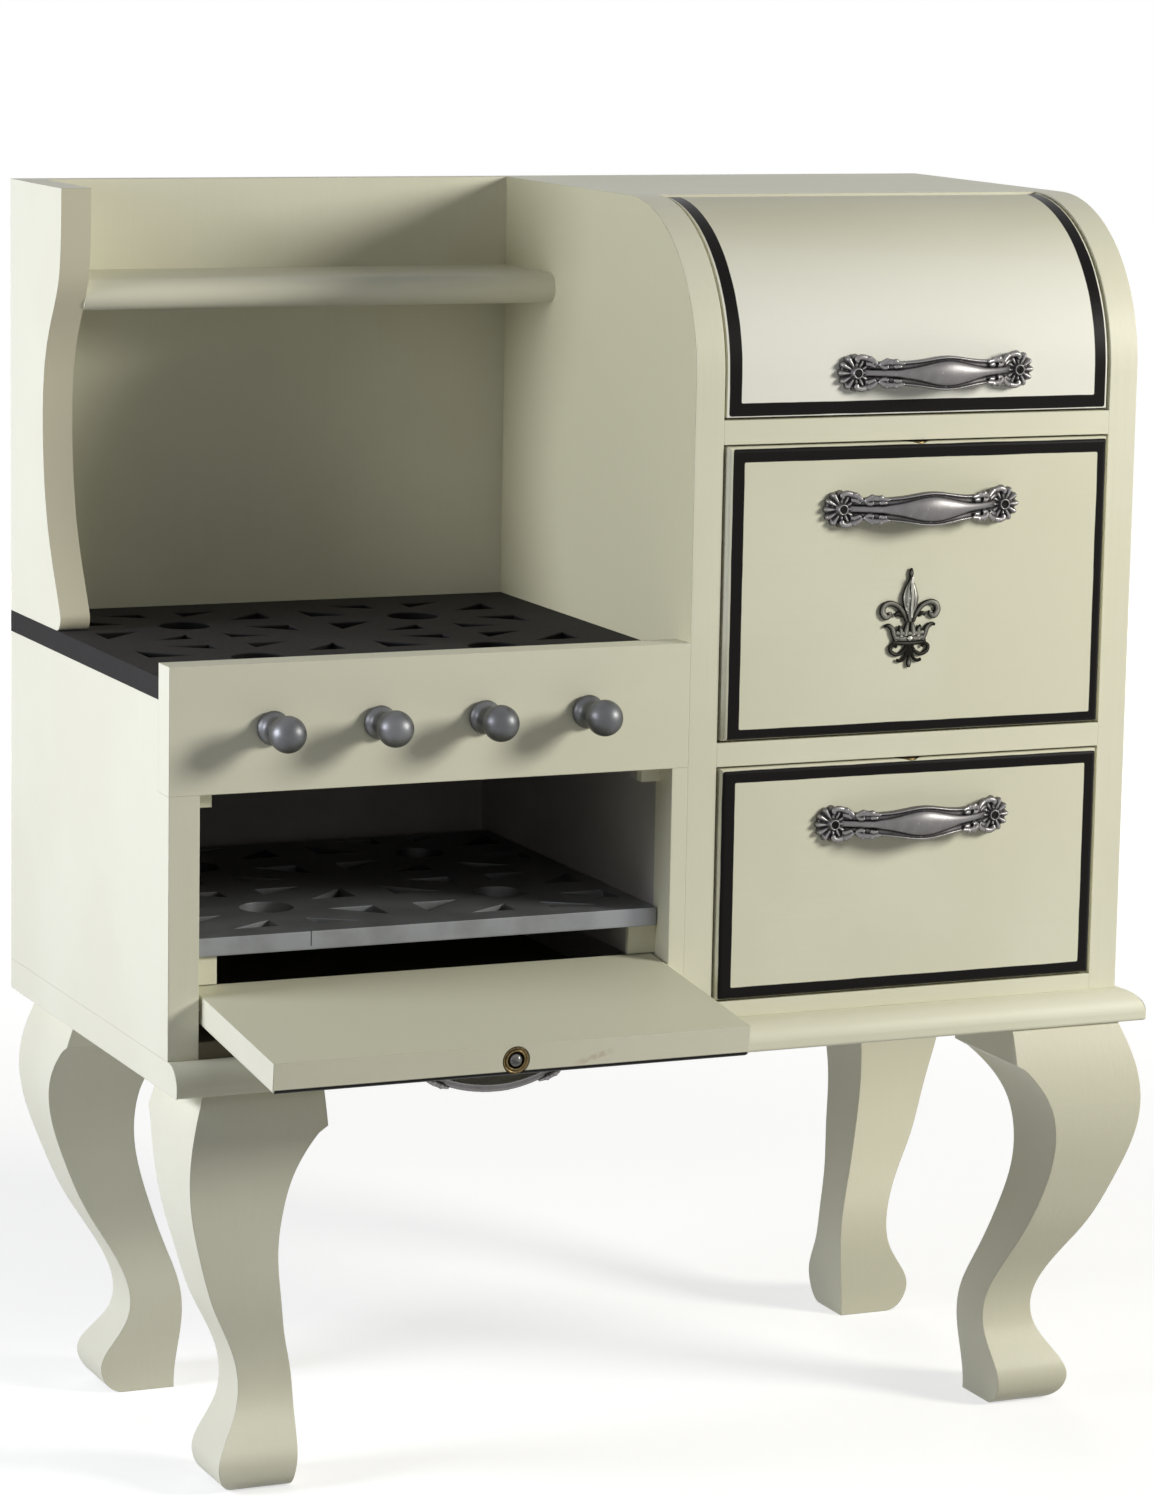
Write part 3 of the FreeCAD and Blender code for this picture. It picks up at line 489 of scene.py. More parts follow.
# the brown rub across the free edge of the oven door, in mm from its left end and outer face
ovenDoorLow, ovenDoorHigh = closedBox("oven_door", openOven)
doorRub = {"from": (105.5, 2.0), "to": (123.0, 7.0), "width": 1.5 * mm, "height": 1.0 * mm,
           "amount": 0.32, "color": (0.40, 0.27, 0.17), "breakScale": 420.0}


def rubOnEdge(tree, coords):
    ends = [openOven @ Vector((ovenDoorLow.x + across * mm, ovenDoorLow.y + inward * mm,
                               ovenDoorHigh.z))
            for across, inward in (doorRub["from"], doorRub["to"])]
    middle = (ends[0] + ends[1]) / 2
    along = (ends[1] - ends[0]).normalized()
    up = openOven.to_3x3() @ Vector((0, 0, 1))
    half = (ends[1] - ends[0]).length / 2
    mask = None
    for way, reach in ((along, half), (along.cross(up), doorRub["width"]),
                       (up, doorRub["height"])):
        off = calc(tree, "SUBTRACT", dot(tree, coords, way), middle.dot(way))
        off = calc(tree, "ABSOLUTE", off)
        near = calc(tree, "SUBTRACT", 1.0, fade(tree, off, reach * 0.35, reach))
        mask = near if mask is None else calc(tree, "MULTIPLY", mask, near)
    broken = fade(tree, noiseAt(tree, coords, doorRub["breakScale"], 4.0), 0.34, 0.60)
    return calc(tree, "MULTIPLY", calc(tree, "MULTIPLY", mask, broken), doorRub["amount"])


# painted shade: the walls of the holes in the hob, from just under its face, made near-black
hobLow, hobHigh = (Vector(corner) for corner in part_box("hob_plate"))
hobRim, hobFace, hobUnder = 2.0, 0.4, 1.0      # how far in, how far down, how far below, in mm
hobHoleShade = (hobLow + Vector((hobRim, hobRim, -hobUnder)) * mm,
             hobHigh - Vector((hobRim, hobRim, hobFace)) * mm)

creamUp = paintedWood("creamPaintUpright", "Z")
creamAcross = paintedWood("creamPaintAcross", "X")
# the right legs' fronts get painted shade from their tint
creamLegShaded = paintedWood("creamPaintLegShaded", "Z", tint=paintedShadeAndSheen["leg"])
creamOven = paintedWood("creamPaintByOven", "Z", oven=True)
creamOvenDeep = paintedWood("creamPaintInOven", "Y", oven=True)
# the hood side, divider and oven door carry painted shade, the rounded door a painted sheen
finishes = {
    "base_board": creamAcross, "left_side": creamOven,
    "hood_side": paintedWood("creamPaintHoodShaded", "Z", tint=paintedShadeAndSheen["hood_side"]),
    "divider": paintedWood("creamPaintByHobShaded", "Z", tint=paintedShadeAndSheen["divider"]),
    "right_side": creamUp, "back_panel": creamOven, "control_board": creamAcross,
    "hood_shelf": creamAcross, "oven_liner": creamOvenDeep, "cabinet_floor": creamAcross,
    "lower_shelf": creamAcross, "upper_shelf": creamAcross, "cabinet_top": creamAcross,
    "rack_runners": creamOvenDeep, "oven_door_stops": creamOvenDeep,
    "cabinet_door_stops": creamAcross,
    "hob_plate": mattePaint("stoveBlack", stoveBlack, hobHoleShade),
    "oven_floor": mattePaint("ovenBrown", ovenBrown),
    "leg_dowels": bareWood("dowelWood"),
    "catch_strikes": plainMetal("agedBrassStrike"),
    "oven_door": paintedWood("ovenDoorPaintShaded", "X", flatBorder("oven_door", openOven),
                             smudge=rubOnEdge, tint=paintedShadeAndSheen["oven_door"]),
    "middle_door": paintedWood("middleDoorPaint", "X", flatBorder("middle_door")),
    "lower_door": paintedWood("lowerDoorPaint", "X", flatBorder("lower_door")),
    "roll_door": paintedWood("rollDoorPaintSheen", "X", rollBorder, tint=paintedShadeAndSheen["roll_door"]),
}
finishes["oven_ceiling"] = finishes["oven_floor"]
rackLow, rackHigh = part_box("oven_rack")
nickLeft, nickRight = (rackSilver["nickAt"] + side * rackSilver["nickHalf"] for side in (-1, 1))
rackNick = (Vector((nickLeft, rackLow.y - mm, rackHigh.z - rackSilver["nickDeep"])),
            Vector((nickRight, rackLow.y + mm, rackHigh.z + mm)))
# where the painted shade on the rack begins and is full, behind its front
rackShadeSpan = (rackLow.y + rackSilver["fadeFrom"], rackLow.y + rackSilver["fadeTo"])
finishes["oven_rack"] = silverPaint("rackSilver", rackSilver, rackShadeSpan, rackNick)
steel = plainMetal("plainSteel")
darkSteel = plainMetal("darkScrew")
brass = plainMetal("agedBrass")
pewter = castPewter("castPewter", pullPewter)
emblemMetal = castPewter("emblemPewter", lilyPewter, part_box("middle_door_emblem")[1].y)
knobSilver = silverPaint("knobSilver", knobPaint)

for name, piece in nodes.items():
    if name in finishes:
        finish = finishes[name]
    elif name.startswith("leg_"):
        finish = creamLegShaded if "right" in name else creamUp
    elif "handle_screws" in name:
        finish = darkSteel
    elif name.endswith("_handle") or name.endswith("emblem"):
        finish = pewter
    elif "cup" in name:
        finish = brass
    elif name.startswith("knob_") and "screw" not in name:
        finish = knobSilver
    else:
        finish = steel
    piece.data.materials.clear()
    piece.data.materials.append(finish)
print("paints and metals on", len(nodes), "nodes")


# mesh helpers

def meshObject(name, bm, material):
    mesh = bpy.data.meshes.new(name)
    bmesh.ops.recalc_face_normals(bm, faces=bm.faces)
    bm.to_mesh(mesh)
    bm.free()
    for polygon in mesh.polygons:
        polygon.use_smooth = True
    piece = bpy.data.objects.new(name, mesh)
    bpy.context.scene.collection.objects.link(piece)
    mesh.materials.append(material)
    return piece


# melts overlapping lumps into one cast skin
def castTogether(piece, voxel):
    remesh = piece.modifiers.new("cast", "REMESH")
    remesh.mode = "VOXEL"
    remesh.voxel_size = voxel
    remesh.use_smooth_shade = True
    soften = piece.modifiers.new("soften", "SMOOTH")
    soften.factor = 0.5
    soften.iterations = 1
    evaluated = piece.evaluated_get(bpy.context.evaluated_depsgraph_get())
    mesh = bpy.data.meshes.new_from_object(evaluated)
    piece.modifiers.clear()
    old = piece.data
    piece.data = mesh
    bpy.data.meshes.remove(old)
    for polygon in mesh.polygons:
        polygon.use_smooth = True
    return piece


# a tapering bar through points; flat squashes it along the way out of the face
def addTube(bm, points, radii, sides=10, flat=1.0):
    out = Vector((0, -1, 0))
    rings = []
    for index, point in enumerate(points):
        before = points[max(index - 1, 0)]
        after = points[min(index + 1, len(points) - 1)]
        along = (after - before).normalized()
        side = along.cross(out).normalized()
        rise = side.cross(along).normalized()
        ring = []
        for step in range(sides):
            turn = 2 * math.pi * step / sides
            spot = point + side * (math.cos(turn) * radii[index])
            spot += rise * (math.sin(turn) * radii[index] * flat)
            ring.append(bm.verts.new(spot))
        rings.append(ring)
    for low, high in zip(rings, rings[1:]):
        for step in range(sides):
            follow = (step + 1) % sides
            bm.faces.new((low[step], low[follow], high[follow], high[step]))
    bm.faces.new(rings[0])
    bm.faces.new(list(reversed(rings[-1])))


# a curve through the points, each a tuple whose last value is the radius
def smoothPath(points, steps):
    padded = [points[0]] + list(points) + [points[-1]]
    path = []
    for a, b, c, d in zip(padded, padded[1:], padded[2:], padded[3:]):
        for step in range(steps):
            t = step / steps
            path.append(tuple(0.5 * (2 * q + (r - p) * t + (2 * p - 5 * q + 4 * r - s) * t ** 2
                                     + (3 * q - p - 3 * r + s) * t ** 3)
                              for p, q, r, s in zip(a, b, c, d)))
    path.append(tuple(points[-1]))
    return path


# turns a profile of (radius, distance along the axis) about the axis; a ring has a hole
def addLathe(bm, profile, center, axis, segments, ring=False):
    turnTo = Vector((0, 0, 1)).rotation_difference(Vector(axis)).to_matrix()
    rings = []
    for radius, rise in profile:
        circle = []
        for step in range(segments):
            turn = 2 * math.pi * step / segments
            spot = Vector((radius * math.cos(turn), radius * math.sin(turn), rise))
            circle.append(bm.verts.new(center + turnTo @ spot))
        rings.append(circle)
    for low, high in zip(rings, rings[1:] + (rings[:1] if ring else [])):
        for step in range(segments):
            follow = (step + 1) % segments
            bm.faces.new((low[step], low[follow], high[follow], high[step]))
    if not ring:
        bm.faces.new(rings[0])
        bm.faces.new(list(reversed(rings[-1])))


# a pointed almond lump that lies on the face, its length along direction
def addLeaf(bm, center, direction, length, width, height):
    ring, rows = 10, 8
    across = direction.cross(Vector((0, 1, 0))).normalized()
    rings = []
    for row in range(rows):
        angle = math.pi * (row + 0.5) / rows
        size = math.sin(angle) ** 1.3
        middle = center - direction * (math.cos(angle) * length / 2)
        spots = []
        for step in range(ring):
            turn = 2 * math.pi * step / ring
            spot = middle + across * (math.cos(turn) * size * width / 2)
            spot += Vector((0, -1, 0)) * (math.sin(turn) * size * height)
            spots.append(bm.verts.new(spot))
        rings.append(spots)
    for low, high in zip(rings, rings[1:]):
        for step in range(ring):
            follow = (step + 1) % ring
            bm.faces.new((low[step], low[follow], high[follow], high[step]))
    bm.faces.new(rings[0])
    bm.faces.new(list(reversed(rings[-1])))


# bow pulls: a swelling between two necks, scrolls, and a shell round each screw

pull = {
    "spacing": 64 * mm,         # of the screws
    "reach": 12.2 * mm,         # front of the bow's middle from the door
    "footAt": 31.5 * mm,        # where the bow has come down to the door
    "bandThick": 1.9 * mm,
    "middleHalf": 6.1 * mm,     # half height over the ridges
    "neckHalf": 4.1 * mm,
    "footHalf": 3.4 * mm,
    "swellHalf": 4.5 * mm,      # half height of the smooth swelling
    "ribHalf": 1.3 * mm,
    "swellRise": 2.2 * mm,
    "ribRise": 1.2 * mm,
    "ridgeRise": 1.0 * mm,
    "ridgeIn": 0.55 * mm,       # of a ridge from the edge
    "ridgeWide": 0.42 * mm,
    "middleWide": 10.5 * mm,    # how far along the bow its middle, swelling and rise reach
    "swellWide": 11.5 * mm,
    "riseWide": 12 * mm,
    "narrowFrom": 23 * mm,      # where the bow narrows to its foot
    "narrowOver": 8.5 * mm,
    "drop": 0.95,               # share of the reach that is lost at the foot
    "least": 0.3 * mm,          # thickness anywhere
    "scrollOut": 2.8 * mm,      # of the scrolls from the door, at least
    "voxel": 0.22 * mm,
}

# the fluted shell round each screw: a raised ring, then flutes that fall away to a rim
shell = {"radius": 6.7 * mm, "petals": 12, "scallop": 0.15, "hub": 2.3 * mm, "hubRise": 2.4 * mm,
         "ringAt": 1.65 * mm, "ringWide": 0.55 * mm, "ringRise": 1.9 * mm, "flute": 1.5 * mm,
         "fluteOver": 0.7 * mm, "slope": 0.5 * mm, "rimFrom": 0.86, "rimDrop": 1.3 * mm}


def bell(x, width):
    return math.exp(-(x / width) ** 2)


def bowFront(x):
    return pull["reach"] * (1 - pull["drop"] * min(abs(x) / pull["footAt"], 1.0) ** 2)


def bowHalf(x):
    narrow = max(0.0, abs(x) - pull["narrowFrom"]) / pull["narrowOver"]
    middle = (pull["middleHalf"] - pull["neckHalf"]) * bell(x, pull["middleWide"])
    return (pull["neckHalf"] + middle
            - (pull["neckHalf"] - pull["footHalf"]) * min(narrow, 1.0))


def addBow(bm):
    steps, widths = 120, 52
    stations = [(-1 + 2 * i / steps) * pull["footAt"] for i in range(steps + 1)]
    across = [-1 + 2 * j / widths for j in range(widths + 1)]
    fronts, backs = [], []
    for x in stations:
        half = bowHalf(x)
        swell = bell(x, pull["swellWide"])
        lift = bell(x, pull["riseWide"])
        dome = pull["ribHalf"] + (pull["swellHalf"] - pull["ribHalf"]) * swell
        domeRise = pull["ribRise"] + (pull["swellRise"] - pull["ribRise"]) * lift
        band = bowFront(x) - domeRise
        front, back = [], []
        for share in across:
            z = share * half
            rise = domeRise * math.sqrt(max(0.0, 1 - (z / dome) ** 2))
            aside = abs(z) - (half - pull["ridgeIn"])
            ridge = pull["ridgeRise"] * bell(aside, pull["ridgeWide"])
            front.append(bm.verts.new((x, -max(band + max(rise, ridge), pull["least"]), z)))
            back.append(bm.verts.new((x, -max(band - pull["bandThick"], 0), z)))
        fronts.append(front)
        backs.append(back)
    for a in range(steps):
        b = a + 1
        for j in range(widths):
            bm.faces.new((fronts[a][j], fronts[b][j], fronts[b][j + 1], fronts[a][j + 1]))
            bm.faces.new((backs[a][j], backs[a][j + 1], backs[b][j + 1], backs[b][j]))
        for j in (0, widths):
            bm.faces.new((fronts[a][j], backs[a][j], backs[b][j], fronts[b][j]))
    for row in (0, steps):
        for j in range(widths):
            bm.faces.new((fronts[row][j], fronts[row][j + 1], backs[row][j + 1], backs[row][j]))


def addShell(bm, way):
    center = way * pull["spacing"] / 2
    rings, spokes = 34, 144
    circles = []
    for ring in range(1, rings + 1):
        share = ring / rings
        row = []
        for spoke in range(spokes):
            turn = 2 * math.pi * spoke / spokes
            wave = abs(math.cos(turn * shell["petals"] / 2))
            radius = share * shell["radius"] * (1 - shell["scallop"] + shell["scallop"] * wave)
            rise = shell["ringRise"] * bell(radius - shell["ringAt"], shell["ringWide"])
            if radius < shell["hub"]:
                rise += shell["hubRise"]
            else:
                flute = min(1.0, (radius - shell["hub"]) / shell["fluteOver"]) * (wave - 0.5)
                rise += shell["hubRise"] + shell["flute"] * flute - shell["slope"] * share
                rim = max(0.0, (share - shell["rimFrom"]) / (1 - shell["rimFrom"]))
                rise -= shell["rimDrop"] * rim ** 2
            row.append(bm.verts.new((center + way * radius * math.cos(turn),
                                     -max(rise, pull["least"]), radius * math.sin(turn))))
        circles.append(row)
    for low, high in zip(circles, circles[1:]):
        for spoke in range(spokes):
            follow = (spoke + 1) % spokes
            bm.faces.new((low[spoke], low[follow], high[follow], high[spoke]))
    floor = [bm.verts.new((v.co.x, 0, v.co.z)) for v in circles[-1]]
    for spoke in range(spokes):
        follow = (spoke + 1) % spokes
        bm.faces.new((circles[-1][spoke], circles[-1][follow], floor[follow], floor[spoke]))
    bm.faces.new(floor)
    bm.faces.new(circles[0])


# each scroll point: along from the middle, off the middle line, radius, all in mm
scrollPaths = [
    [(25.0, 3.0, 0.60), (26.4, 4.4, 0.95), (28.4, 5.2, 1.10), (30.6, 5.6, 1.10), (32.2, 4.9, 0.95),
     (31.6, 3.9, 0.75)],
    [(16.4, 3.6, 0.45), (18.6, 3.9, 0.85), (20.8, 4.1, 1.05), (22.9, 3.9, 1.10), (24.0, 2.9, 0.95),
     (22.9, 2.1, 0.80), (21.6, 2.4, 0.70)],
    [(17.4, 2.4, 0.45), (18.8, 2.6, 0.80), (19.8, 2.2, 0.60)],
    [(25.6, 2.2, 0.60), (27.2, 3.1, 0.90), (28.8, 3.2, 0.75)],
]
# along, off, half length, half width of each leaf on them
scrollLumps = [(19.4, 4.4, 1.1, 0.90), (22.2, 4.6, 1.1, 0.90), (27.4, 5.1, 1.2, 0.95)]


def scrollOut(along):               # how far the scrolls' middle stands off the door
    return max(bowFront(along) - 0.1 * mm, pull["scrollOut"])


def addScrolls(bm, way):
    for side in (-1, 1):
        for shape in scrollPaths:
            path = smoothPath(shape, steps=7)
            points = [Vector((way * a * mm, -scrollOut(a * mm), side * b * mm))
                      for a, b, _ in path]
            addTube(bm, points, [r * mm for *_, r in path])
        for along, off, length, width in scrollLumps:
            place = Vector((way * along * mm, -scrollOut(along * mm), side * off * mm))
            lean = Vector((-way * 0.85, 0, side * 0.35)).normalized()
            addLeaf(bm, place, lean, 2 * length * mm, 2 * width * mm, 1.25 * mm * width ** 0.5)


def buildPull():
    bm = bmesh.new()
    addBow(bm)
    for way in (-1, 1):
        addShell(bm, way)
        addScrolls(bm, way)
    piece = castTogether(meshObject("pullPattern", bm, pewter), pull["voxel"])
    for v in piece.data.vertices:
        v.co.y = min(v.co.y, 0)     # the back of the casting sits flat on the door
    return piece


pullPattern = buildPull()
pullMesh = pullPattern.data
bpy.data.objects.remove(pullPattern)

for door, swing in (("oven", openOven), ("middle", shut), ("lower", shut), ("roll", shut)):
    low, high = closedBox(door + "_door_handle", swing)
    face = closedBox(door + "_door", swing)[0].y
    seat = Vector(((low.x + high.x) / 2, face, (low.z + high.z) / 2))
    piece = bpy.data.objects.new(door + "Pull", pullMesh)
    bpy.context.scene.collection.objects.link(piece)
    piece.matrix_world = swing @ Matrix.Translation(seat)
    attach(piece, door + "_door")
    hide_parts(door + "_door_handle")
print("pulls cast:", len(pullMesh.polygons), "faces each")


# ball catches in the doors' free edges: a ringed brass cup and its sprung steel ball

# the cup's profile is radius and height in mm; beyond hub it is spread to each door's flange
catch = {
    "ball": 2.6 * mm, "ballRise": 1.4 * mm, "hub": 3.0,
    "flange": {"oven": 4.95, "middle": 4.25, "lower": 4.25},
    "cup": [(2.80, -2.4), (2.78, -0.35), (2.90, -0.06), (3.15, 0.12), (3.45, 0.10), (3.62, -0.12),
            (3.75, -0.28), (3.90, -0.10), (4.15, 0.04), (4.45, 0.0), (4.62, -0.20), (4.70, -2.4)],
    "dark": (0.030, 0.022, 0.012), "brass": (0.165, 0.120, 0.055), "patchScale": 700.0,
    "grooves": [(2.80, 0.22), (3.75, 0.16), (4.75, 0.22)],      # radius and half width in mm
    "roughness": (0.32, 0.50), "patchDepth": 0.02 * mm,
}


def catchBrass(name):               # brass rings, tarnished black in the grooves
    material, tree, shader = startMaterial(name)
    coords = objectCoords(tree)
    flat = tree.nodes.new("ShaderNodeVectorMath")
    flat.operation = "MULTIPLY"
    tree.links.new(coords, flat.inputs[0])
    flat.inputs[1].default_value = (1, 1, 0)
    size = tree.nodes.new("ShaderNodeVectorMath")
    size.operation = "LENGTH"
    tree.links.new(flat.outputs[0], size.inputs[0])
    radius = size.outputs["Value"]
    ring = None
    for groove, half in catch["grooves"]:
        off = calc(tree, "ABSOLUTE", calc(tree, "SUBTRACT", radius, groove * mm))
        clear = fade(tree, off, half * mm * 0.6, half * mm * 1.4)
        ring = clear if ring is None else calc(tree, "MULTIPLY", ring, clear)
    patches = noiseAt(tree, coords, catch["patchScale"], 3.0)
    clean = blendValue(tree, fade(tree, patches, 0.35, 0.60), 0.45, 1.0)
    ring = calc(tree, "MULTIPLY", ring, clean)
    feed(tree, shader.inputs["Base Color"], blendColor(tree, ring, catch["dark"], catch["brass"]))
    shader.inputs["Metallic"].default_value = 1.0
    feed(tree, shader.inputs["Roughness"], blendValue(tree, patches, *catch["roughness"]))
    feed(tree, shader.inputs["Normal"], bump(tree, patches, catch["patchDepth"]))
    return material


def buildCatches():
    cupMetal = catchBrass("catchBrass")
    ballMetal = plainMetal("catchBallSteel")
    for door, swing in (("oven", openOven), ("middle", shut), ("lower", shut)):
        low, high = closedBox(door + "_catch_cup", swing)
        seat = Vector(((low.x + high.x) / 2, (low.y + high.y) / 2, high.z))
        hub = catch["hub"]
        spread = (catch["flange"][door] - hub) / (catch["cup"][-1][0] - hub)
        profile = [((hub + (r - hub) * spread if r > hub else r) * mm, h * mm)
                   for r, h in catch["cup"]]
        bm = bmesh.new()
        addLathe(bm, profile, Vector((0, 0, 0)), (0, 0, 1), segments=48, ring=True)
        cup = meshObject(door + "CatchCup", bm, cupMetal)
        cup.matrix_world = swing @ Matrix.Translation(seat)
        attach(cup, door + "_door")
        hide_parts(door + "_catch_cup")
        profile = []
        steps = 24
        for step in range(steps + 1):
            turn = math.pi * step / steps
            profile.append((max(catch["ball"] * math.sin(turn), 0.005 * mm),
                            catch["ballRise"] - catch["ball"] * (1 + math.cos(turn))))
        bm = bmesh.new()
        addLathe(bm, profile, Vector((0, 0, 0)), (0, 0, 1), segments=32)
        bm.transform(swing @ Matrix.Translation(seat))
        ball = meshObject(door + "CatchBall", bm, ballMetal)
        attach(ball, door + "_ball")
        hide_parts(door + "_catch_ball")


buildCatches()
print("ball catches in three doors")


# the lily over a crown on the middle door

lily = {"voxel": 0.15 * mm, "flat": 0.55, "rise": 0.75, "keelRise": 2.3, "jewelRise": 1.4}

# strokes of (across, up, radius) in mm from the foot of the middle line; rises are off the door
lilyMiddle = [
    [(0.0, 16.8, 0.9), (0.0, 19.4, 1.5), (0.0, 22.4, 2.7), (0.0, 25.6, 3.3), (0.0, 28.6, 2.5),
     (0.0, 31.0, 1.3), (0.0, 32.6, 0.75), (0.1, 34.3, 0.95), (0.1, 36.0, 0.5)],
    [(0.0, 9.0, 0.7), (0.0, 6.0, 0.6), (0.0, 4.0, 0.7), (0.0, 2.0, 1.05), (0.0, 0.5, 0.6)],
]
lilyKeel = [(0.0, 18.5, 0.4), (0.0, 22.0, 0.55), (0.0, 26.0, 0.6), (0.0, 30.0, 0.5),
            (0.0, 33.0, 0.3)]
lilySides = [
    [(1.3, 16.9, 0.8), (2.4, 19.6, 0.95), (4.7, 22.4, 1.0), (7.8, 23.7, 1.05), (10.3, 22.8, 1.15),
     (10.9, 20.6, 1.25), (9.6, 18.8, 1.2), (8.1, 19.4, 1.0), (8.2, 20.5, 1.0)],
    [(3.2, 18.6, 0.5), (4.8, 19.8, 0.75), (6.0, 19.2, 0.7)],
    [(0.6, 9.2, 0.6), (2.2, 6.4, 0.7), (4.6, 5.2, 0.75), (7.0, 6.2, 0.8), (7.5, 8.0, 0.75),
     (6.0, 8.9, 0.65), (5.0, 7.7, 0.6)],
    [(0.5, 7.2, 0.6), (1.6, 4.2, 0.65), (3.2, 2.9, 0.65), (4.9, 3.3, 0.6)],
    [(5.2, 10.2, 1.0), (6.2, 12.6, 1.1), (7.0, 14.6, 1.0), (8.6, 15.8, 0.8), (10.2, 15.4, 0.45)],
    [(3.4, 11.5, 1.3), (3.6, 14.0, 1.0), (4.4, 15.6, 0.5)],
    [(1.6, 12.0, 1.3), (1.2, 14.6, 1.1), (0.8, 16.6, 0.8)],
]
lilyBands = [
    [(-6.6, 9.7, 0.75), (-3.0, 9.3, 0.80), (0.0, 9.2, 0.85), (3.0, 9.3, 0.80), (6.6, 9.7, 0.75)],
    [(-5.8, 11.2, 1.10), (-3.0, 10.9, 1.15), (0.0, 10.8, 1.15), (3.0, 10.9, 1.15),
     (5.8, 11.2, 1.10)],
    [(-5.4, 12.9, 1.10), (-3.0, 12.6, 1.15), (0.0, 12.5, 1.15), (3.0, 12.6, 1.15),
     (5.4, 12.9, 1.10)],
]
lilyJewel = [(0.0, 10.2, 0.6), (0.0, 11.0, 1.15), (0.0, 11.8, 0.6)]


def buildLily():
    low, high = closedBox("middle_door_emblem")
    foot = Vector(((low.x + high.x) / 2, high.y, low.z))
    bm = bmesh.new()

    def stroke(shape, mirror=1, rise=lily["rise"]):
        path = smoothPath(shape, steps=6)
        points = [foot + Vector((mirror * a * mm, -rise * mm, b * mm)) for a, b, _ in path]
        addTube(bm, points, [r * mm for *_, r in path], 12, lily["flat"])

    for shape in lilyMiddle + lilyBands:
        stroke(shape)
    for shape in lilySides:
        stroke(shape, 1)
        stroke(shape, -1)
    stroke(lilyKeel, rise=lily["keelRise"])
    stroke(lilyJewel, rise=lily["jewelRise"])
    piece = castTogether(meshObject("lilyOrnament", bm, emblemMetal), lily["voxel"])
    for v in piece.data.vertices:
        v.co.y = min(v.co.y, high.y)
    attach(piece, "middle_door")
    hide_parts("middle_door_emblem")


buildLily()
print("ornament on the middle door")


# turned knobs: the foot's profile is radius and distance from the board in mm

knob = {"ball": 6.35 * mm, "ballOut": 15.4 * mm, "gap": 0.15 * mm,
        "foot": [(0.0, 0.0), (4.9, 0.0), (5.7, 0.5), (5.95, 1.3), (5.7, 2.2), (5.0, 3.0),
                 (4.3, 3.6), (3.95, 4.6), (3.85, 6.0), (3.9, 8.0), (4.1, 9.6)]}


def buildKnob(number):
    node = "knob_%d" % number
    low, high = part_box(node)
    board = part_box("control_board")[0].y
    center = Vector(((low.x + high.x) / 2, board - knob["gap"], (low.z + high.z) / 2))
    profile = [(max(r * mm, 0.01 * mm), d * mm) for r, d in knob["foot"]]
    start = math.asin(knob["foot"][-1][0] * mm / knob["ball"])
    out = knob["ballOut"] - knob["gap"]
    steps = 24
    for step in range(steps + 1):
        turn = math.pi - start - (math.pi - start) * step / steps
        radius = max(knob["ball"] * math.sin(turn), 0.01 * mm)
        profile.append((radius, out - knob["ball"] * math.cos(math.pi - turn)))
    bm = bmesh.new()
    addLathe(bm, profile, center, (0, -1, 0), segments=64)
    piece = meshObject("turnedKnob%d" % number, bm, knobSilver)
    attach(piece, node)
    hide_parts(node)


for number in range(1, 5):
    buildKnob(number)
print("knobs turned")


# camera, at the photograph's viewing angle

view = {"at": (-0.7254, -1.6188, 0.5469), "target": (-0.03807, -0.05321, 0.25593), "roll": 1.05,
        "lens": 156.23, "sensor": 36.0}

cameraData = bpy.data.cameras.new("camera")
cameraData.sensor_fit = "HORIZONTAL"
cameraData.sensor_width = view["sensor"]
cameraData.lens = view["lens"]
cameraData.clip_start = 0.05
cameraData.clip_end = 50.0
camera = bpy.data.objects.new("camera", cameraData)
bpy.context.scene.collection.objects.link(camera)
aim = Vector(view["target"]) - Vector(view["at"])
camera.rotation_mode = "QUATERNION"
rolled = Quaternion((0, 0, 1), math.radians(view["roll"]))
camera.rotation_quaternion = aim.to_track_quat("-Z", "Y") @ rolled
camera.location = view["at"]
bpy.context.scene.camera = camera


# plain pale floor and soft studio light

studio = {
    "floor": (0.46, 0.46, 0.46), "size": 12.0, "ambient": 0.115, "aim": (0, 0, 0.24),
    "lift": (0.64, 0.97), "liftRange": (0.35, 1.3),     # white added near and far, and where
    "lamps": [  # name, place, size, watts, colour, whether it shows as a glare
        ("sideLamp", (-0.95, 0.0, 0.44), 0.36, 6.2, (0.95, 0.98, 1.08), True),
        ("frontLamp", (0.920, -0.769, 0.698), 0.36, 13.4, (1.0, 0.985, 0.90), True),
        ("backLamp", (0.55, 2.20, 0.42), 1.2, 26.0, (1.0, 0.99, 0.95), False),
    ],
}


def backgroundRays(tree):           # 1 for what the eye, metal and glass see as background
    path = tree.nodes.new("ShaderNodeLightPath")
    total = calc(tree, "ADD", path.outputs["Is Camera Ray"], path.outputs["Is Glossy Ray"])
    return calc(tree, "ADD", total, path.outputs["Is Transmission Ray"], clamp=True)


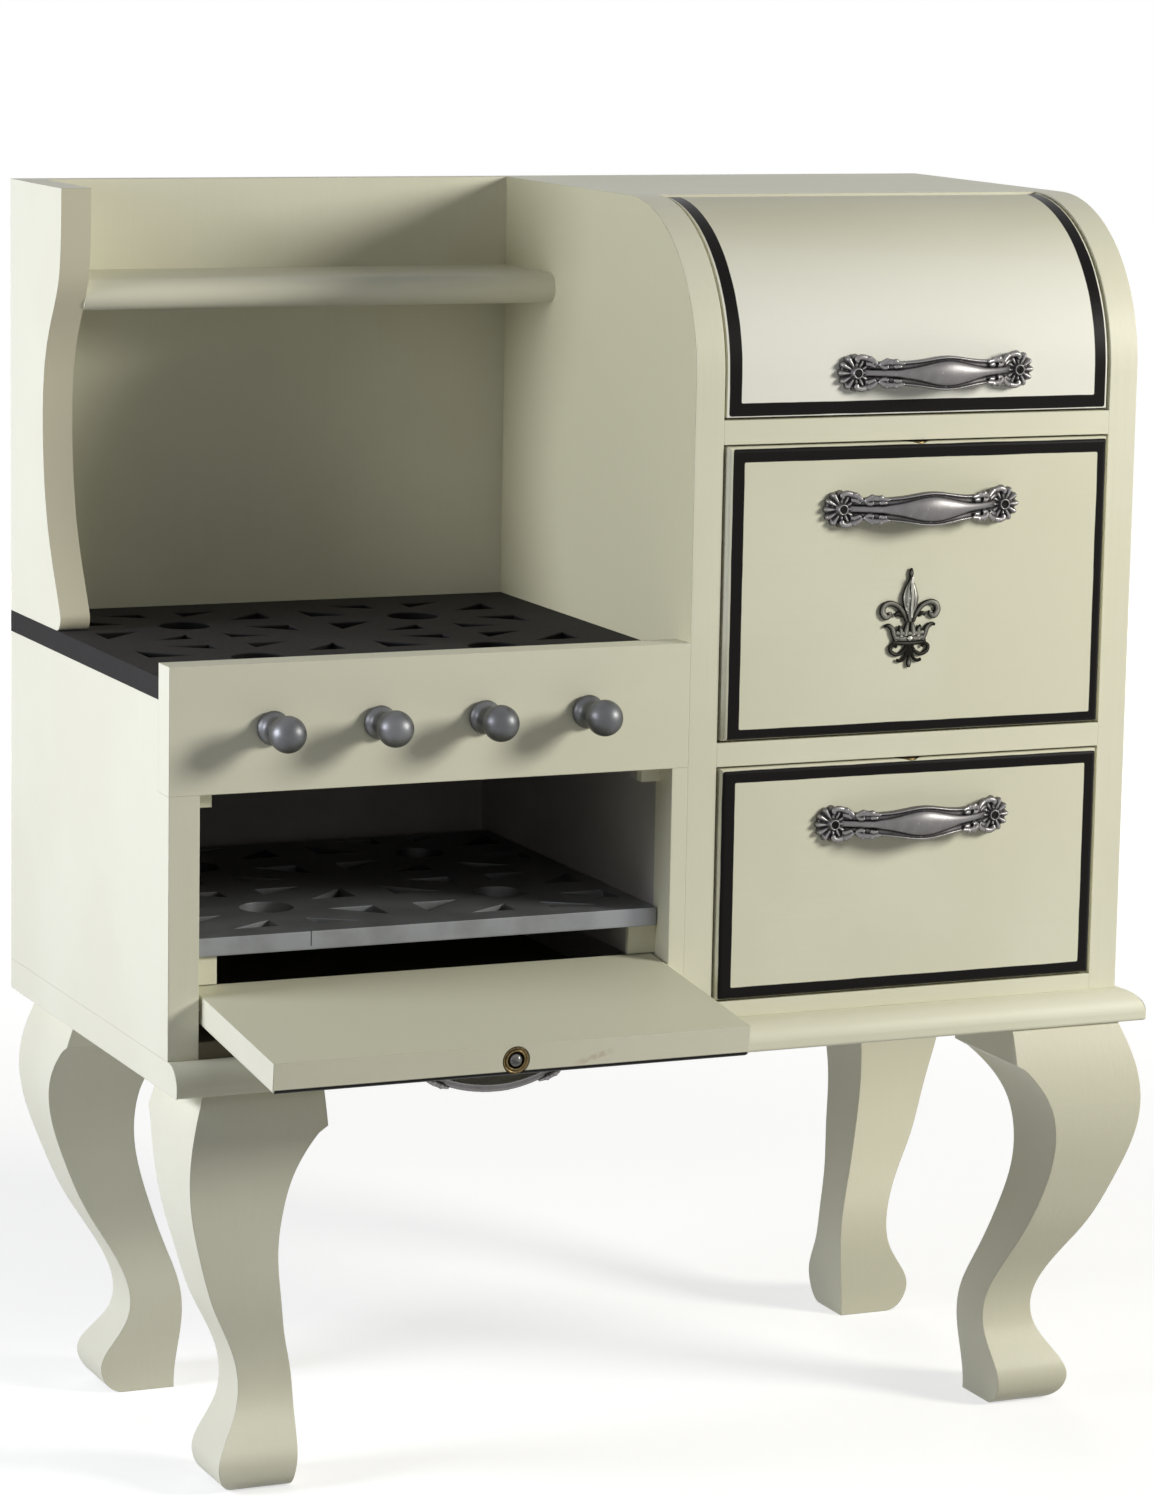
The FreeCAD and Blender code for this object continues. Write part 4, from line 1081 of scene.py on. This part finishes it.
def buildFloor():
    half = studio["size"] / 2
    bm = bmesh.new()
    bm.faces.new([bm.verts.new((x * half, y * half, 0))
                  for x, y in ((-1, -1), (1, -1), (1, 1), (-1, 1))])
    material = bpy.data.materials.new("studioFloor")
    material.use_nodes = True
    tree = material.node_tree
    tree.nodes.clear()
    output = tree.nodes.new("ShaderNodeOutputMaterial")
    matte = tree.nodes.new("ShaderNodeBsdfDiffuse")
    matte.inputs["Color"].default_value = (*studio["floor"], 1)
    lift = tree.nodes.new("ShaderNodeEmission")
    size = tree.nodes.new("ShaderNodeVectorMath")
    size.operation = "LENGTH"
    tree.links.new(objectCoords(tree), size.inputs[0])
    away = fade(tree, size.outputs["Value"], *studio["liftRange"])
    rise = blendValue(tree, away, *studio["lift"])
    feed(tree, lift.inputs["Strength"], calc(tree, "MULTIPLY", backgroundRays(tree), rise))
    both = tree.nodes.new("ShaderNodeAddShader")
    tree.links.new(matte.outputs[0], both.inputs[0])
    tree.links.new(lift.outputs[0], both.inputs[1])
    tree.links.new(both.outputs[0], output.inputs["Surface"])
    meshObject("studioFloor", bm, material)


def buildWorld():
    world = bpy.data.worlds.new("studioWorld")
    bpy.context.scene.world = world
    world.use_nodes = True
    tree = world.node_tree
    tree.nodes.clear()
    output = tree.nodes.new("ShaderNodeOutputWorld")
    soft = tree.nodes.new("ShaderNodeBackground")
    soft.inputs["Strength"].default_value = studio["ambient"]
    bright = tree.nodes.new("ShaderNodeBackground")
    bright.inputs["Color"].default_value = (1, 1, 1, 1)
    soft.inputs["Color"].default_value = (1, 1, 1, 1)
    pick = tree.nodes.new("ShaderNodeMixShader")
    tree.links.new(backgroundRays(tree), pick.inputs[0])
    tree.links.new(soft.outputs[0], pick.inputs[1])
    tree.links.new(bright.outputs[0], pick.inputs[2])
    tree.links.new(pick.outputs[0], output.inputs["Surface"])


def buildLights():
    for name, place, size, power, tint, glare in studio["lamps"]:
        data = bpy.data.lights.new(name, "AREA")
        data.shape = "DISK"
        data.size = size
        data.energy = power
        data.color = tint
        lamp = bpy.data.objects.new(name, data)
        lamp.location = place
        lamp.visible_glossy = glare
        lamp.rotation_mode = "QUATERNION"
        lamp.rotation_quaternion = (Vector(studio["aim"]) - Vector(place)).to_track_quat("-Z", "Y")
        bpy.context.scene.collection.objects.link(lamp)


buildFloor()
buildWorld()
buildLights()
bpy.context.scene.view_settings.view_transform = "Standard"
print("camera, floor and light")
